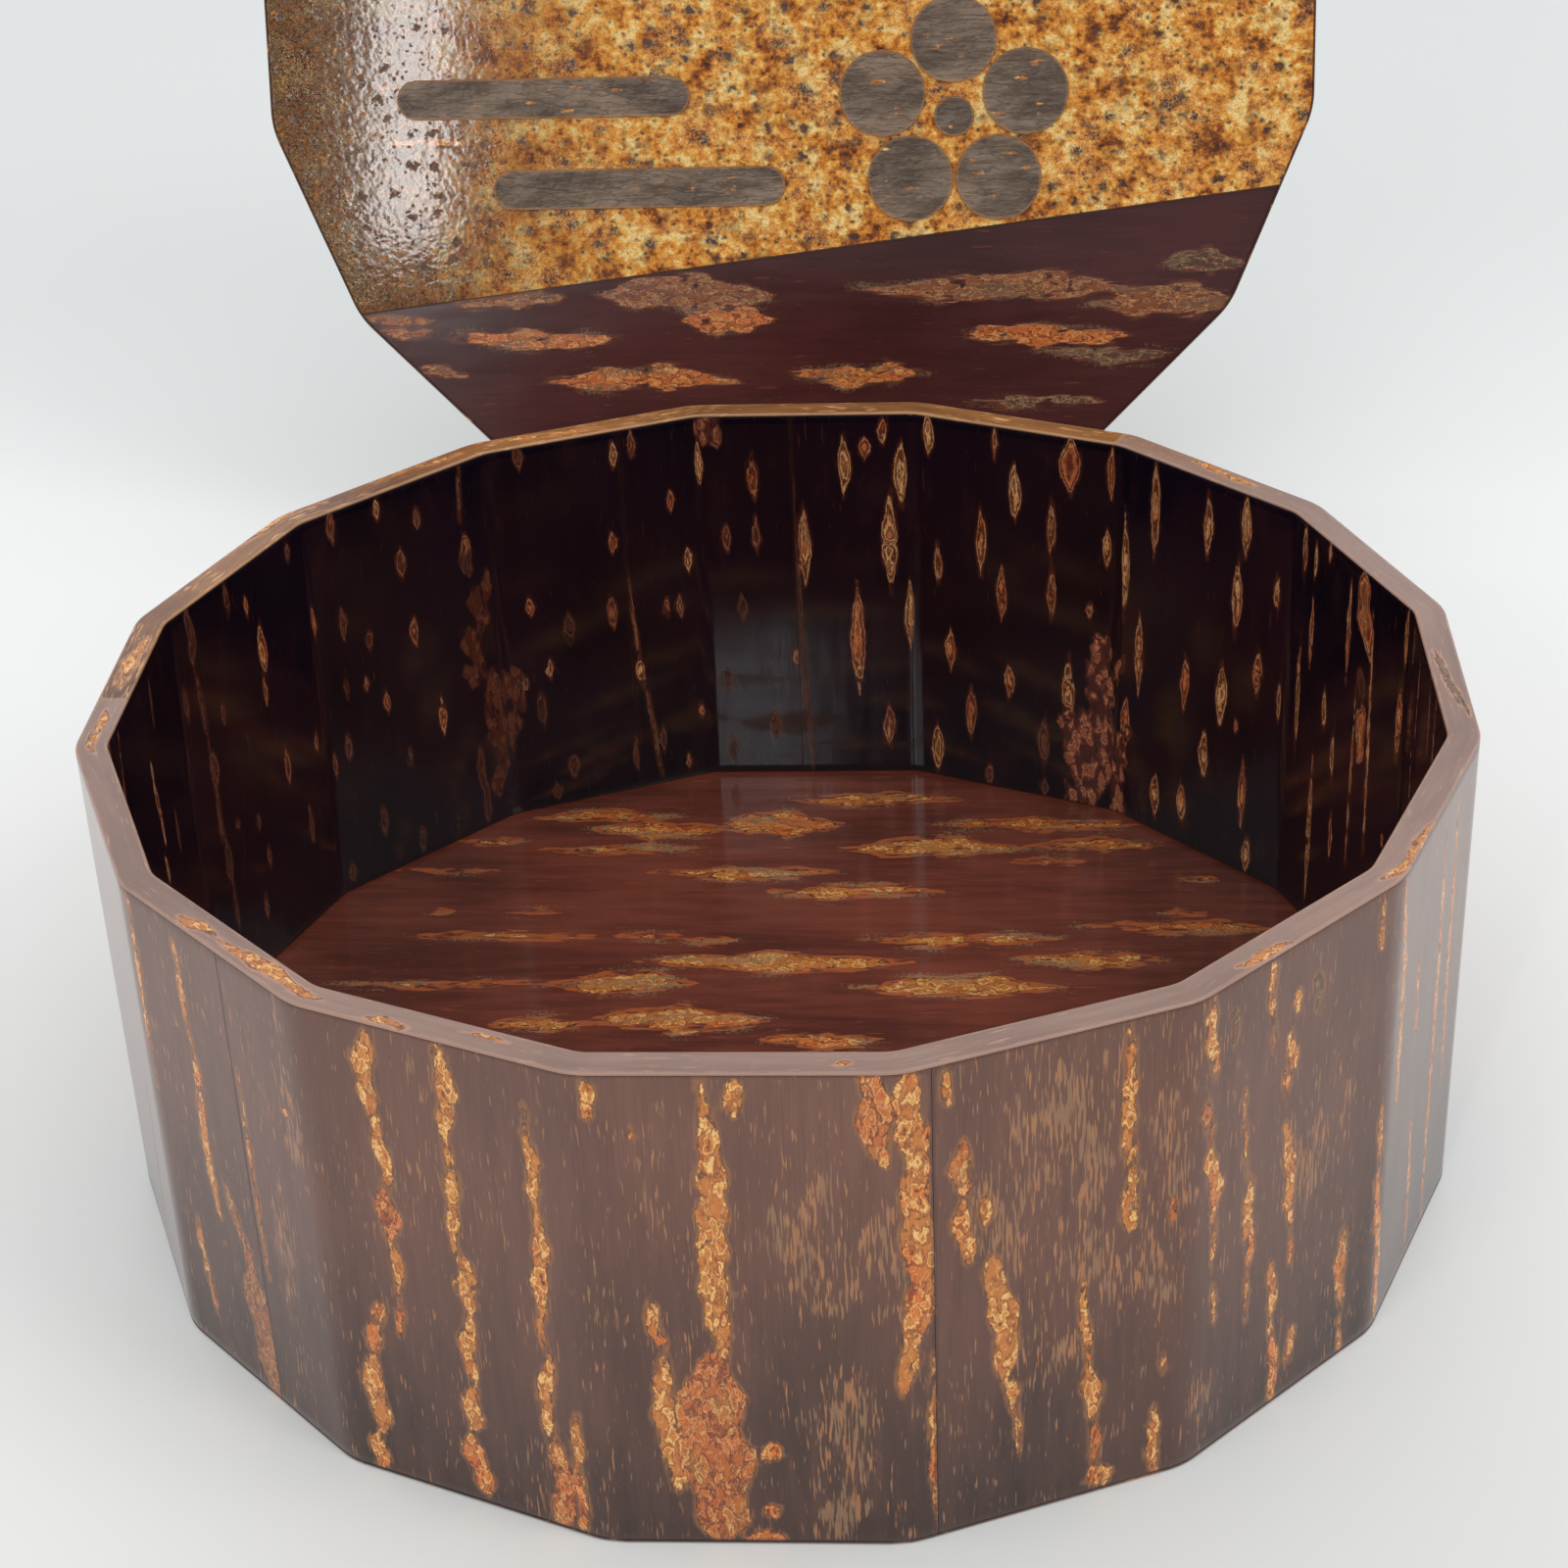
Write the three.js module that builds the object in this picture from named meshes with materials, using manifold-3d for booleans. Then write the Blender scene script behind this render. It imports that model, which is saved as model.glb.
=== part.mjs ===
// A wide, shallow, many-sided tea box covered inside and out with polished cherry bark.
// It stands open, with its cap lid taken off and leaning back behind it.
// Lengths are in millimetres, +Z is up and the front side of the box faces -Y.
// The origin is the centre of the box's underside, on the surface that the box stands on.
//
// A place along an outline is counted in sides: side 0 faces the front, the count runs
// anticlockwise seen from above, 2.5 is the middle of side 2 and 3 is the corner after it.
// An inset is a distance inwards from the outer outline.

import * as THREE from "three";
import { mergeVertices } from "three/addons/utils/BufferGeometryUtils.js";
import Module from "manifold-3d";

// Box
const sides = 16;
const boxAcross = 274;
const boxHeight = 104;
const cornerRadius = 16;

// Bark and the glue under it
const barkThickness = 0.5;
const glueLine = 0.1;

// Wooden core of the box
const staveThickness = 5.1;
const floorThickness = 4.5;
const floorLetIn = 2.5;

// Cap lid
const lidClearance = 1.5;
const lidDepth = 48;
const lidStaveThickness = 5.1;
const lidBoardThickness = 5;

// Where the lid stands
const lidLean = THREE.MathUtils.degToRad(15.4);
const lidStandOff = 119;
const lidShift = -10.5;

// Two fields of bark on the lid's face, parted by a slanting seam
const seamHeightShare = -0.456;
const seamSlant = THREE.MathUtils.degToRad(7);
const seamGap = 0.2;

// Blossom laid on the lid's face
const blossomPlaceShares = [0.318, -0.2];
const blossomRadius = 33;
const petalCount = 5;
const petalGap = 0.6;

// Bars of mist laid on the lid's face beside the blossom
const mistCount = 2;
const mistLength = 82;
const mistWidth = 11;
const mistPlaceShares = [-0.47, -0.152];
const mistStepShares = [0.18, -0.173];

// Seams of the bark sheets, as shares of the way round from corner 0
const outerSeamShares = [0.069, 0.35, 0.637, 0.911];
const innerSeamShares = [0.145, 0.535, 0.586, 0.805];
const boxRimSeamShares = [0.44, 0.79];
const skirtSeamShares = [0.71];
const skirtLiningSeamShares = [0.4];
const lidRimSeamShares = [0.47];

// Blossom's pieces, as shares of its radius
const petalShare = 0.37;
const heartShare = 0.17;

// Steps of the round stretches
const arcHalfSteps = 2;
const discSteps = 32;

// Sizes worked out from the ones above
const turn = (2 * Math.PI) / sides;
const frontAngle = -Math.PI / 2;
const skin = barkThickness + glueLine;
const wallThickness = staveThickness + 2 * skin;
const lidWallThickness = lidStaveThickness + 2 * skin;
const boxRing = { apothem: boxAcross / 2, radius: cornerRadius };
const lidGrowth = lidClearance + lidWallThickness;
const lidRing = { apothem: boxRing.apothem + lidGrowth, radius: cornerRadius + lidGrowth };

const wasm = await Module();
wasm.setup();

// Materials
const finish = (color, roughness) =>
  new THREE.MeshStandardMaterial({ color, roughness, metalness: 0 });
const bareWood = finish(0xb08a5c, 0.7);
const darkBark = finish(0x4a2a24, 0.28);
const insideBark = finish(0x1c1012, 0.2);
const floorBark = finish(0x5a2a1c, 0.22);
const rimBark = finish(0x6b4a40, 0.35);
const goldBark = finish(0xb07a34, 0.3);
const redBark = finish(0x4c1a14, 0.28);
const greyBark = finish(0x5f5146, 0.65);

// Points of an outline

const direction = (angle) => new THREE.Vector2(Math.cos(angle), Math.sin(angle));

// How far a corner's round reaches along each side that it joins, in sides.
const roundReach = (ring) => ring.radius / (2 * ring.apothem);

// The outward angle of the outline at a place. It turns only where a corner is rounded.
function facingAt(ring, place) {
  const corner = Math.round(place);
  const bend = THREE.MathUtils.clamp((place - corner) / roundReach(ring), -1, 1);
  return frontAngle + (corner - 0.5 + bend / 2) * turn;
}

// From the centre of the nearest corner's round, out by the radius, then straight along the side.
function pointAt(ring, place, inset) {
  const corner = Math.round(place);
  const pastCorner = place - corner;
  const pastRound = pastCorner - THREE.MathUtils.clamp(
    pastCorner, -roundReach(ring), roundReach(ring),
  );
  const facing = facingAt(ring, place);
  const sideLength = 2 * ring.apothem * Math.tan(turn / 2);
  return direction(frontAngle + (corner - 0.5) * turn)
    .multiplyScalar((ring.apothem - ring.radius) / Math.cos(turn / 2))
    .addScaledVector(direction(facing), ring.radius - inset)
    .addScaledVector(direction(facing + Math.PI / 2), pastRound * sideLength);
}

// The places where the round of a corner takes its steps.
function roundPlaces(ring, corner) {
  const places = [];
  for (let step = -arcHalfSteps; step <= arcHalfSteps; step++)
    places.push(corner + (step / arcHalfSteps) * roundReach(ring));
  return places;
}

// The outline's points from one place to another, each end drawn back by half a glue line.
function stretch(ring, from, to, inset) {
  const places = [];
  for (let corner = Math.floor(from); corner <= Math.ceil(to); corner++)
    places.push(...roundPlaces(ring, corner).filter((place) => place > from && place < to));
  const points = [from, ...places, to].map((place) => pointAt(ring, place, inset));
  const along = (place) => direction(facingAt(ring, place) + Math.PI / 2);
  points[0].addScaledVector(along(from), glueLine / 2);
  points.at(-1).addScaledVector(along(to), -glueLine / 2);
  return points;
}

// The whole outline.
function outline(ring, inset) {
  const points = [];
  for (let corner = 0; corner < sides; corner++)
    points.push(...roundPlaces(ring, corner).map((place) => pointAt(ring, place, inset)));
  return points;
}

// Solids

function prism(shape, bottom, top) {
  const options = { depth: top - bottom, bevelEnabled: false, curveSegments: discSteps / 2 };
  return new THREE.ExtrudeGeometry(shape, options).translate(0, 0, bottom);
}

function plate(ring, inset, bottom, top) {
  return prism(new THREE.Shape(outline(ring, inset)), bottom, top);
}

// A wall between two places, two insets and two heights.
function wall(ring, [from, to], [outer, inner], [bottom, top]) {
  const outside = stretch(ring, from, to, outer);
  const inside = stretch(ring, from, to, inner).reverse();
  return prism(new THREE.Shape([...outside, ...inside]), bottom, top);
}

function disc(radius, bottom, top) {
  const geometry = new THREE.CylinderGeometry(radius, radius, top - bottom, discSteps);
  return geometry.rotateX(Math.PI / 2).translate(0, 0, (bottom + top) / 2);
}

// A straight bar with round ends, lying along X.
function bar(length, width, bottom, top) {
  const radius = width / 2;
  const reach = length / 2 - radius;
  const shape = new THREE.Shape()
    .absarc(reach, 0, radius, -Math.PI / 2, Math.PI / 2)
    .absarc(-reach, 0, radius, Math.PI / 2, (3 * Math.PI) / 2);
  return prism(shape, bottom, top);
}

function toManifold(geometry) {
  const bare = geometry.clone();
  bare.deleteAttribute("normal");
  bare.deleteAttribute("uv");
  const merged = mergeVertices(bare);
  const mesh = new wasm.Mesh({
    numProp: 3,
    vertProperties: merged.attributes.position.array,
    triVerts: new Uint32Array(merged.index.array),
  });
  return new wasm.Manifold(mesh);
}

function fromManifold(solid) {
  const { vertProperties, triVerts } = solid.getMesh();
  const geometry = new THREE.BufferGeometry();
  geometry.setAttribute("position", new THREE.BufferAttribute(vertProperties, 3));
  geometry.setIndex(new THREE.BufferAttribute(triVerts, 1));
  return geometry;
}

function cut(geometry, cutter) {
  return fromManifold(toManifold(geometry).subtract(toManifold(cutter)));
}

// Named pieces

function add(group, name, geometry, material) {
  const mesh = new THREE.Mesh(geometry, material);
  mesh.name = name;
  group.add(mesh);
}

const numbered = (name, index) => `${name}_${String(index + 1).padStart(2, "0")}`;

// Sheets of bark that meet at their seams all the way round.
function addSheets(group, name, ring, seamShares, insets, heights, material) {
  seamShares.forEach((share, index) => {
    const next = seamShares[index + 1] ?? seamShares[0] + 1;
    const sheet = wall(ring, [share * sides, next * sides], insets, heights);
    add(group, seamShares.length > 1 ? `${name}_${index + 1}` : name, sheet, material);
  });
}

// The box: mitred staves with the floor board let in to them, and bark on every face

function makeBox() {
  const box = new THREE.Group();
  const woodTop = boxHeight - skin;
  const floorTop = skin + floorThickness;
  const floorBarkTop = floorTop + skin;
  const woodInset = skin + staveThickness;

  const floorPocket = plate(boxRing, woodInset - floorLetIn, 0, floorTop + glueLine);
  for (let side = 0; side < sides; side++) {
    const stave = wall(boxRing, [side, side + 1], [skin, woodInset], [skin, woodTop]);
    add(box, numbered("box_stave", side), cut(stave, floorPocket), bareWood);
  }
  const floorInset = woodInset - floorLetIn + glueLine;
  add(box, "floor_board", plate(boxRing, floorInset, skin, floorTop), bareWood);
  const floorSheet = plate(boxRing, woodInset + glueLine, floorTop + glueLine, floorBarkTop);
  add(box, "floor_bark", floorSheet, floorBark);
  add(box, "base_bark", plate(boxRing, 0, 0, barkThickness), darkBark);

  const outside = [0, barkThickness];
  const inside = [wallThickness - barkThickness, wallThickness];
  const rim = [0, wallThickness];
  const outsideHeights = [skin, woodTop];
  const insideHeights = [floorBarkTop + glueLine, woodTop];
  const rimHeights = [boxHeight - barkThickness, boxHeight];
  addSheets(box, "outer_bark", boxRing, outerSeamShares, outside, outsideHeights, darkBark);
  addSheets(box, "inner_bark", boxRing, innerSeamShares, inside, insideHeights, insideBark);
  addSheets(box, "box_rim_bark", boxRing, boxRimSeamShares, rim, rimHeights, rimBark);
  return box;
}

// The lid in its own frame, as it closes the box: open side down on z = 0 and face up

// A place on the face is given in shares of the way from its middle to a side.
const onFace = (share) => share * lidRing.apothem;

// Two fields of one face, each cut back from the seam by half its gap.
function addFields(lid) {
  const sheet = plate(lidRing, skin, lidDepth - barkThickness, lidDepth);
  const reach = 2 * (lidRing.apothem + lidDepth);
  const half = (side) =>
    new THREE.BoxGeometry(reach, reach, reach)
      .translate(0, side * (reach / 2 - seamGap / 2), 0)
      .rotateZ(seamSlant)
      .translate(0, onFace(seamHeightShare), 0);
  add(lid, "lid_gold_bark", cut(sheet, half(-1)), goldBark);
  add(lid, "lid_red_bark", cut(sheet, half(1)), redBark);
}

// Five round petals about a smaller round heart.
function addBlossom(lid, bottom, top) {
  const [middleX, middleY] = blossomPlaceShares.map(onFace);
  const petalRing = blossomRadius * (1 - petalShare);
  const petalSpacing = 2 * petalRing * Math.sin(Math.PI / petalCount);
  const petalRadius = (petalSpacing - petalGap) / 2;
  for (let petal = 0; petal < petalCount; petal++) {
    const way = direction(Math.PI / 2 + (petal * 2 * Math.PI) / petalCount);
    const x = middleX + petalRing * way.x;
    const y = middleY + petalRing * way.y;
    add(lid, `petal_${petal + 1}`, disc(petalRadius, bottom, top).translate(x, y, 0), greyBark);
  }
  const heart = disc(blossomRadius * heartShare, bottom, top);
  add(lid, "blossom_heart", heart.translate(middleX, middleY, 0), greyBark);
}

function addMist(lid, bottom, top) {
  const [firstX, firstY] = mistPlaceShares.map(onFace);
  const [stepX, stepY] = mistStepShares.map(onFace);
  for (let index = 0; index < mistCount; index++) {
    const piece = bar(mistLength, mistWidth, bottom, top);
    piece.translate(firstX + index * stepX, firstY + index * stepY, 0);
    add(lid, `mist_bar_${index + 1}`, piece, greyBark);
  }
}

function makeLid() {
  const lid = new THREE.Group();
  const boardTop = lidDepth - skin;
  const boardBottom = boardTop - lidBoardThickness;
  const liningTop = boardBottom - glueLine;
  const liningBottom = liningTop - barkThickness;
  const woodInset = skin + lidStaveThickness;

  for (let side = 0; side < sides; side++) {
    const heights = [skin, boardBottom - glueLine];
    const stave = wall(lidRing, [side, side + 1], [skin, woodInset], heights);
    add(lid, numbered("lid_stave", side), stave, bareWood);
  }
  add(lid, "lid_board", plate(lidRing, skin, boardBottom, boardTop), bareWood);
  const lining = plate(lidRing, woodInset + glueLine, liningBottom, liningTop);
  add(lid, "lid_lining_bark", lining, insideBark);

  const outside = [0, barkThickness];
  const inside = [lidWallThickness - barkThickness, lidWallThickness];
  const rim = [0, lidWallThickness];
  const outsideHeights = [skin, lidDepth];
  const insideHeights = [skin, liningBottom - glueLine];
  addSheets(lid, "skirt_bark", lidRing, skirtSeamShares, outside, outsideHeights, darkBark);
  addSheets(
    lid, "skirt_lining_bark", lidRing, skirtLiningSeamShares, inside, insideHeights, insideBark,
  );
  addSheets(lid, "lid_rim_bark", lidRing, lidRimSeamShares, rim, [0, barkThickness], rimBark);

  const laidOn = lidDepth + glueLine;
  addFields(lid);
  addBlossom(lid, laidOn, laidOn + barkThickness);
  addMist(lid, laidOn, laidOn + barkThickness);
  return lid;
}

// The lid stands on the rear edge of its lowest side, face to the front, and leans back.
function standBehind(lid) {
  const foot = boxRing.apothem + lidStandOff;
  lid.rotation.x = Math.PI / 2 - lidLean;
  lid.position.x = lidShift;
  lid.position.y = foot + lidDepth * Math.cos(lidLean) + lidRing.apothem * Math.sin(lidLean);
  lid.position.z = lidRing.apothem * Math.cos(lidLean);
  return lid;
}

const teaBox = new THREE.Group();
teaBox.add(makeBox(), standBehind(makeLid()));

export default teaBox;
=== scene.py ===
# A wide, many-sided tea box covered with polished cherry bark, open, with its cap lid behind it.
# Shapes are worked out in millimetres, in the part's own frame, and become metres in the meshes.

import math
import random
from collections import namedtuple

import bmesh
import bpy
import numpy as np
from mathutils import Matrix, Vector, noise


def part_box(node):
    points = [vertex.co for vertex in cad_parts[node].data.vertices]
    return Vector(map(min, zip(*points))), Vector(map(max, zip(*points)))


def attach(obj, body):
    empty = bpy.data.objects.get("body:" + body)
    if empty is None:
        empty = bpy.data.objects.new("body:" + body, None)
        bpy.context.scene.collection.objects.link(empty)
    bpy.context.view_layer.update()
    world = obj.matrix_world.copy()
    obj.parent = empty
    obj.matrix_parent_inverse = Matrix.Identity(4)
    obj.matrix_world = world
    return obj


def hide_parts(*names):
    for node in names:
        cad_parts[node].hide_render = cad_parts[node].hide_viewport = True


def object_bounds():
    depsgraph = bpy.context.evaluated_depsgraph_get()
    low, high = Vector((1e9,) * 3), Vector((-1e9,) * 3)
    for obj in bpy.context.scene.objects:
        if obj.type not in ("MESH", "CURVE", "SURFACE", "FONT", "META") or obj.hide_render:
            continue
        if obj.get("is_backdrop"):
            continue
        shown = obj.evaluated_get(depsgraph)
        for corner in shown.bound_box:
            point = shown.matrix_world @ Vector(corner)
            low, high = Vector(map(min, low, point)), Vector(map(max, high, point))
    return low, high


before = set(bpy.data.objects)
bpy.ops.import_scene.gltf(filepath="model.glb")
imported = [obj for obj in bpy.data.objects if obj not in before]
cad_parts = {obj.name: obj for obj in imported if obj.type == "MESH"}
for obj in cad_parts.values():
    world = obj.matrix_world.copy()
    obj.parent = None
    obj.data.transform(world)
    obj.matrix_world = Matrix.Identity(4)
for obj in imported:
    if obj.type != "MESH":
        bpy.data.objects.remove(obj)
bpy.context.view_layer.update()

METRE = 1000.0

# The many-sided outline, as in the part: side 0 faces the front, counted anticlockwise from above
SIDES = 16
TURN = 2 * math.pi / SIDES
FRONT = -math.pi / 2
CORNER_RADIUS = 16.0

# How deep the lid is, and how far it leans back
LID_DEPTH = 48.0
LEAN = math.radians(15.4)

# Bark sheets and the glue between them
BARK = 0.5
GLUE = 0.1
EASED_EDGE = 0.12
RIM_ROUND = 0.42

# How finely the sheets are divided. Points of a plate closer together than the closest rows or columns are
# left out, and at a corner sharper than the sharpest its edge is moved no further
ROUND_STEPS = 4
EASED_STEPS = 2
RIM_STEPS = 4
STRAIGHT_STEPS = 54
ROW_HEIGHT = 2.0
RIM_ROWS = 6
PLATE_ROW = 1.0
PLATE_COLUMN = 3.0
CLOSEST_ROWS = 0.35 * PLATE_ROW
CLOSEST_COLUMNS = 0.1 * PLATE_COLUMN
EDGE_FACET = 0.1
SHARPEST_CORNER = 0.5
BAR_END_STEPS = 16
SHARP_ANGLE = math.radians(35)
TINY = 1e-6

# The photograph's camera
PHOTO_SIZE = 1600
PHOTO_FOCAL = 3194.1
SENSOR_WIDTH = 36.0
CAMERA_AZIMUTH = math.radians(4.0)
CAMERA_ELEVATION = math.radians(30.304)
CAMERA_ROLL = math.radians(-2.386)
CAMERA_DISTANCE = 644.0
CAMERA_TARGET = Vector((0.79, 0.06, 78.6))
CAMERA_CLIP = 10.0

Ring = namedtuple("Ring", "apothem radius")


def node_span(node):
    """A node's lowest and highest corners, in millimetres."""
    low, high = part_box(node)
    return low * METRE, high * METRE


box_low, _ = node_span("outer_bark_4")
_, rim_high = node_span("box_rim_bark_2")
skirt_low, skirt_high = node_span("skirt_bark")
floor_low, floor_high = node_span("floor_bark")

BOX_HEIGHT = rim_high.z
BOX = Ring(-box_low.y, CORNER_RADIUS)
WALL = BOX.apothem - floor_high.x + BARK
LID_APOTHEM = (skirt_high.x - skirt_low.x) / 2
LID = Ring(LID_APOTHEM, CORNER_RADIUS + LID_APOTHEM - BOX.apothem)
RINGS = {"box": BOX, "lid": LID}

# The lid's own frame: open side down, face up. It stands behind the box and leans back
LID_PLACE = Vector((
    (skirt_low.x + skirt_high.x) / 2,
    skirt_low.y + LID_DEPTH * math.cos(LEAN) + LID.apothem * math.sin(LEAN),
    LID.apothem * math.cos(LEAN),
))
LID_FRAME = Matrix.Translation(LID_PLACE) @ Matrix.Rotation(math.pi / 2 - LEAN, 4, "X")
FRAMES = {"box": Matrix.Identity(4), "lid": LID_FRAME}


# Outline. A place on it is counted in sides, and an inset is a distance inwards from it


def direction(angle):
    return Vector((math.cos(angle), math.sin(angle)))


def side_ways(side):
    """A side's outward direction and its direction along the outline."""
    angle = FRONT + side * TURN
    return direction(angle), direction(angle + math.pi / 2)


def side_length(ring):
    return 2 * ring.apothem * math.tan(TURN / 2)


def round_reach(ring):
    """How far a corner's round reaches along each side, in sides."""
    return ring.radius / (2 * ring.apothem)


def facing_at(ring, place):
    corner = round(place)
    bend = max(-1.0, min(1.0, (place - corner) / round_reach(ring)))
    return FRONT + (corner - 0.5 + bend / 2) * TURN


def point_at(ring, place, inset):
    corner = round(place)
    past_corner = place - corner
    reach = round_reach(ring)
    past_round = past_corner - max(-reach, min(reach, past_corner))
    facing = facing_at(ring, place)
    middle = direction(FRONT + (corner - 0.5) * TURN)
    return (
        middle * ((ring.apothem - ring.radius) / math.cos(TURN / 2))
        + direction(facing) * (ring.radius - inset)
        + direction(facing + math.pi / 2) * (past_round * side_length(ring))
    )


def round_places(ring, corner):
    """Places along a corner's round."""
    reach = round_reach(ring)
    return [corner + reach * step / ROUND_STEPS for step in range(-ROUND_STEPS, ROUND_STEPS + 1)]


def places_between(ring, start, end):
    """Places along the outline, close together on the rounds and evenly spaced between them."""
    reach = round_reach(ring)
    straight = 1 - 2 * reach
    places = []
    for corner in range(math.floor(start), math.ceil(end) + 1):
        places += round_places(ring, corner)
        for step in range(1, STRAIGHT_STEPS):
            places.append(corner + reach + straight * step / STRAIGHT_STEPS)
    nearest = straight / STRAIGHT_STEPS / 4
    return [start, *[place for place in places if start + nearest < place < end - nearest], end]


# What the camera, the lamps, the floor and the pieces share


def way_to(azimuth, elevation):
    """The direction to a place in front, its azimuth counted from the front towards the right."""
    level = math.cos(elevation)
    return Vector((math.sin(azimuth) * level, -math.cos(azimuth) * level, math.sin(elevation)))


def add_object(name, data):
    made = bpy.data.objects.new(name, data)
    bpy.context.scene.collection.objects.link(made)
    return made


# Camera


def make_camera():
    """Puts the camera where the photograph's was. Gives its place and its three directions."""
    back = way_to(CAMERA_AZIMUTH, CAMERA_ELEVATION)
    level = direction(CAMERA_AZIMUTH).to_3d()
    upright = back.cross(level)
    right = level * math.cos(CAMERA_ROLL) + upright * math.sin(CAMERA_ROLL)
    up = upright * math.cos(CAMERA_ROLL) - level * math.sin(CAMERA_ROLL)
    place = CAMERA_TARGET + back * CAMERA_DISTANCE
    data = bpy.data.cameras.new("camera")
    data.sensor_width = SENSOR_WIDTH
    data.lens = PHOTO_FOCAL / PHOTO_SIZE * SENSOR_WIDTH
    data.clip_start = CAMERA_CLIP / METRE
    camera = add_object("camera", data)
    turned = Matrix((right, up, back)).transposed().to_4x4()
    camera.matrix_world = Matrix.Translation(place / METRE) @ turned
    bpy.context.scene.camera = camera
    return place, right, up, back


EYE, RIGHT, UP, BACK = make_camera()


# Where a pixel of the photograph falls


def sight(pixel):
    """The direction in which the photograph's pixel looks."""
    x, y = pixel
    middle = PHOTO_SIZE / 2
    return (RIGHT * (x - middle) + UP * (middle - y)) / PHOTO_FOCAL - BACK


def on_wall(pixel, inset, inside):
    """The place on the box's wall, in millimetres round the outline and up."""
    look = sight(pixel)
    for side in range(SIDES):
        normal, along = (way.to_3d() for way in side_ways(side))
        towards = look.dot(normal)
        if (towards > 0) != inside:
            continue
        point = EYE + look * ((BOX.apothem - inset - EYE.dot(normal)) / towards)
        sideways = point.dot(along)
        if abs(sideways) <= side_length(BOX) / 2:
            return (side + 0.5) * side_length(BOX) + sideways, point.z
    raise ValueError(f"no wall at {pixel}")


def on_outside(pixel):
    return on_wall(pixel, 0, inside=False)


def on_inside(pixel):
    return on_wall(pixel, WALL, inside=True)


def on_level(pixel, height):
    look = sight(pixel)
    point = EYE + look * ((height - EYE.z) / look.z)
    return point.x, point.y


def on_floor(pixel):
    return on_level(pixel, floor_high.z)


def on_lid(pixel):
    """The place on the lid's face, in the lid's own frame."""
    to_lid = LID_FRAME.inverted()
    eye = to_lid @ EYE
    look = to_lid.to_3x3() @ sight(pixel)
    point = eye + look * ((LID_DEPTH - eye.z) / look.z)
    return point.x, point.y


def on_rim(pixel):
    """The distance in from the rim's outer edge, and the way round it."""
    point = Vector(on_level(pixel, BOX_HEIGHT))
    side = max(range(SIDES), key=lambda side: point.dot(side_ways(side)[0]))
    normal, along = side_ways(side)
    return BOX.apothem - point.dot(normal), (side + 0.5) * side_length(BOX) + point.dot(along)


# The bark's markings, as places on its flat sheet: across its fine lines, then along them

# A knot's two ends, its width, how many swellings it has, its tone and its taper. The tone is 0 for golden,
# 0.5 for orange, 1 for dull and from 1.2 for scarred, the fuller the higher. The taper is how pointed it is
Knot = namedtuple("Knot", "start end width lumps tone taper")

# A field of fine dashes: its lower left and upper right corner, and how thick they lie
Fleck = namedtuple("Fleck", "start end strength")

CHAIN_TAPER = 0.5
CRACK_TAPER = 0.6
STREAK_TAPER = 0.7
PAD_FLECK_TAPER = 0.8
BAND_TAPER = 0.9
FLOOR_TAPER = 1.0
ALMOND_TAPER = 1.45

# How a knot's middle line wanders: the radians of its waves, how far for each 1 of its width, and at most
WAVES = 7
CROOK = 0.15
PLAIN_CROOK = 0.04
MOST_CROOK = 0.6

# How far a knot's swellings go, as a share of its width, and half the width that its ends keep
SWELLING = 0.2
LEAST_HALF_WIDTH = 1e-3

# How thick the dashes lie in the middle of their field, and how fast they thin out
FIELD_MIDDLE = 2.2
FIELD_FALL = 1.6

# The greatest distance from a knot that is worked out
FAR = 8.0


def knot_field(across, along, knots):
    """How far each point lies outside its nearest knot, and the knot's tone."""
    outside = np.full(across.shape, FAR)
    tone = np.zeros(across.shape)
    for number, knot in enumerate(knots):
        start, end = np.array(knot.start), np.array(knot.end)
        length = np.linalg.norm(end - start)
        way = (end - start) / length
        low = np.minimum(start, end) - FAR - knot.width
        high = np.maximum(start, end) + FAR + knot.width
        near = np.flatnonzero(
            (across > low[0]) & (across < high[0]) & (along > low[1]) & (along < high[1])
        )
        if not near.size:
            continue
        run = (across[near] - start[0]) * way[0] + (along[near] - start[1]) * way[1]
        off = (along[near] - start[1]) * way[0] - (across[near] - start[0]) * way[1]
        share = np.clip(run / length, 0, 1)
        crook = min((CROOK if knot.lumps else PLAIN_CROOK) * knot.width, MOST_CROOK)
        off = off - crook * np.sin(WAVES * share + number)
        swell = 1 + SWELLING * np.cos(2 * math.pi * knot.lumps * share + number) * (knot.lumps > 0)
        half = knot.width / 2 * np.sin(math.pi * share) ** knot.taper * swell + LEAST_HALF_WIDTH
        beyond = np.abs(run - share * length)
        gap = np.abs(off) - half
        gap = np.where((gap > 0) | (beyond > 0), np.hypot(np.maximum(gap, 0), beyond), gap)
        closer = gap < outside[near]
        outside[near[closer]] = gap[closer]
        tone[near[closer]] = knot.tone
    return outside, tone


def fleck_field(across, along, flecks):
    """How thick the fine dashes lie: evenly in each field, thinning out towards its edge."""
    density = np.zeros(across.shape)
    for fleck in flecks:
        middle = (fleck.start + fleck.end) / 2
        reach = (fleck.end - fleck.start) / 2
        away = np.hypot((across - middle[0]) / reach[0], (along - middle[1]) / reach[1])
        density = np.maximum(density, np.clip(FIELD_MIDDLE - FIELD_FALL * away, 0, 1) * fleck.strength)
    return density


def moved_round(marks, ring, part):
    """The marks, and each also a turn back and one and two turns on. Part says which way is round the box."""
    turn = SIDES * side_length(ring)
    for mark in marks:
        for turns in (-1, 0, 1, 2):
            move = np.zeros(2)
            move[part] = turns * turn
            yield mark._replace(start=mark.start + move, end=mark.end + move)


# Meshes

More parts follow.
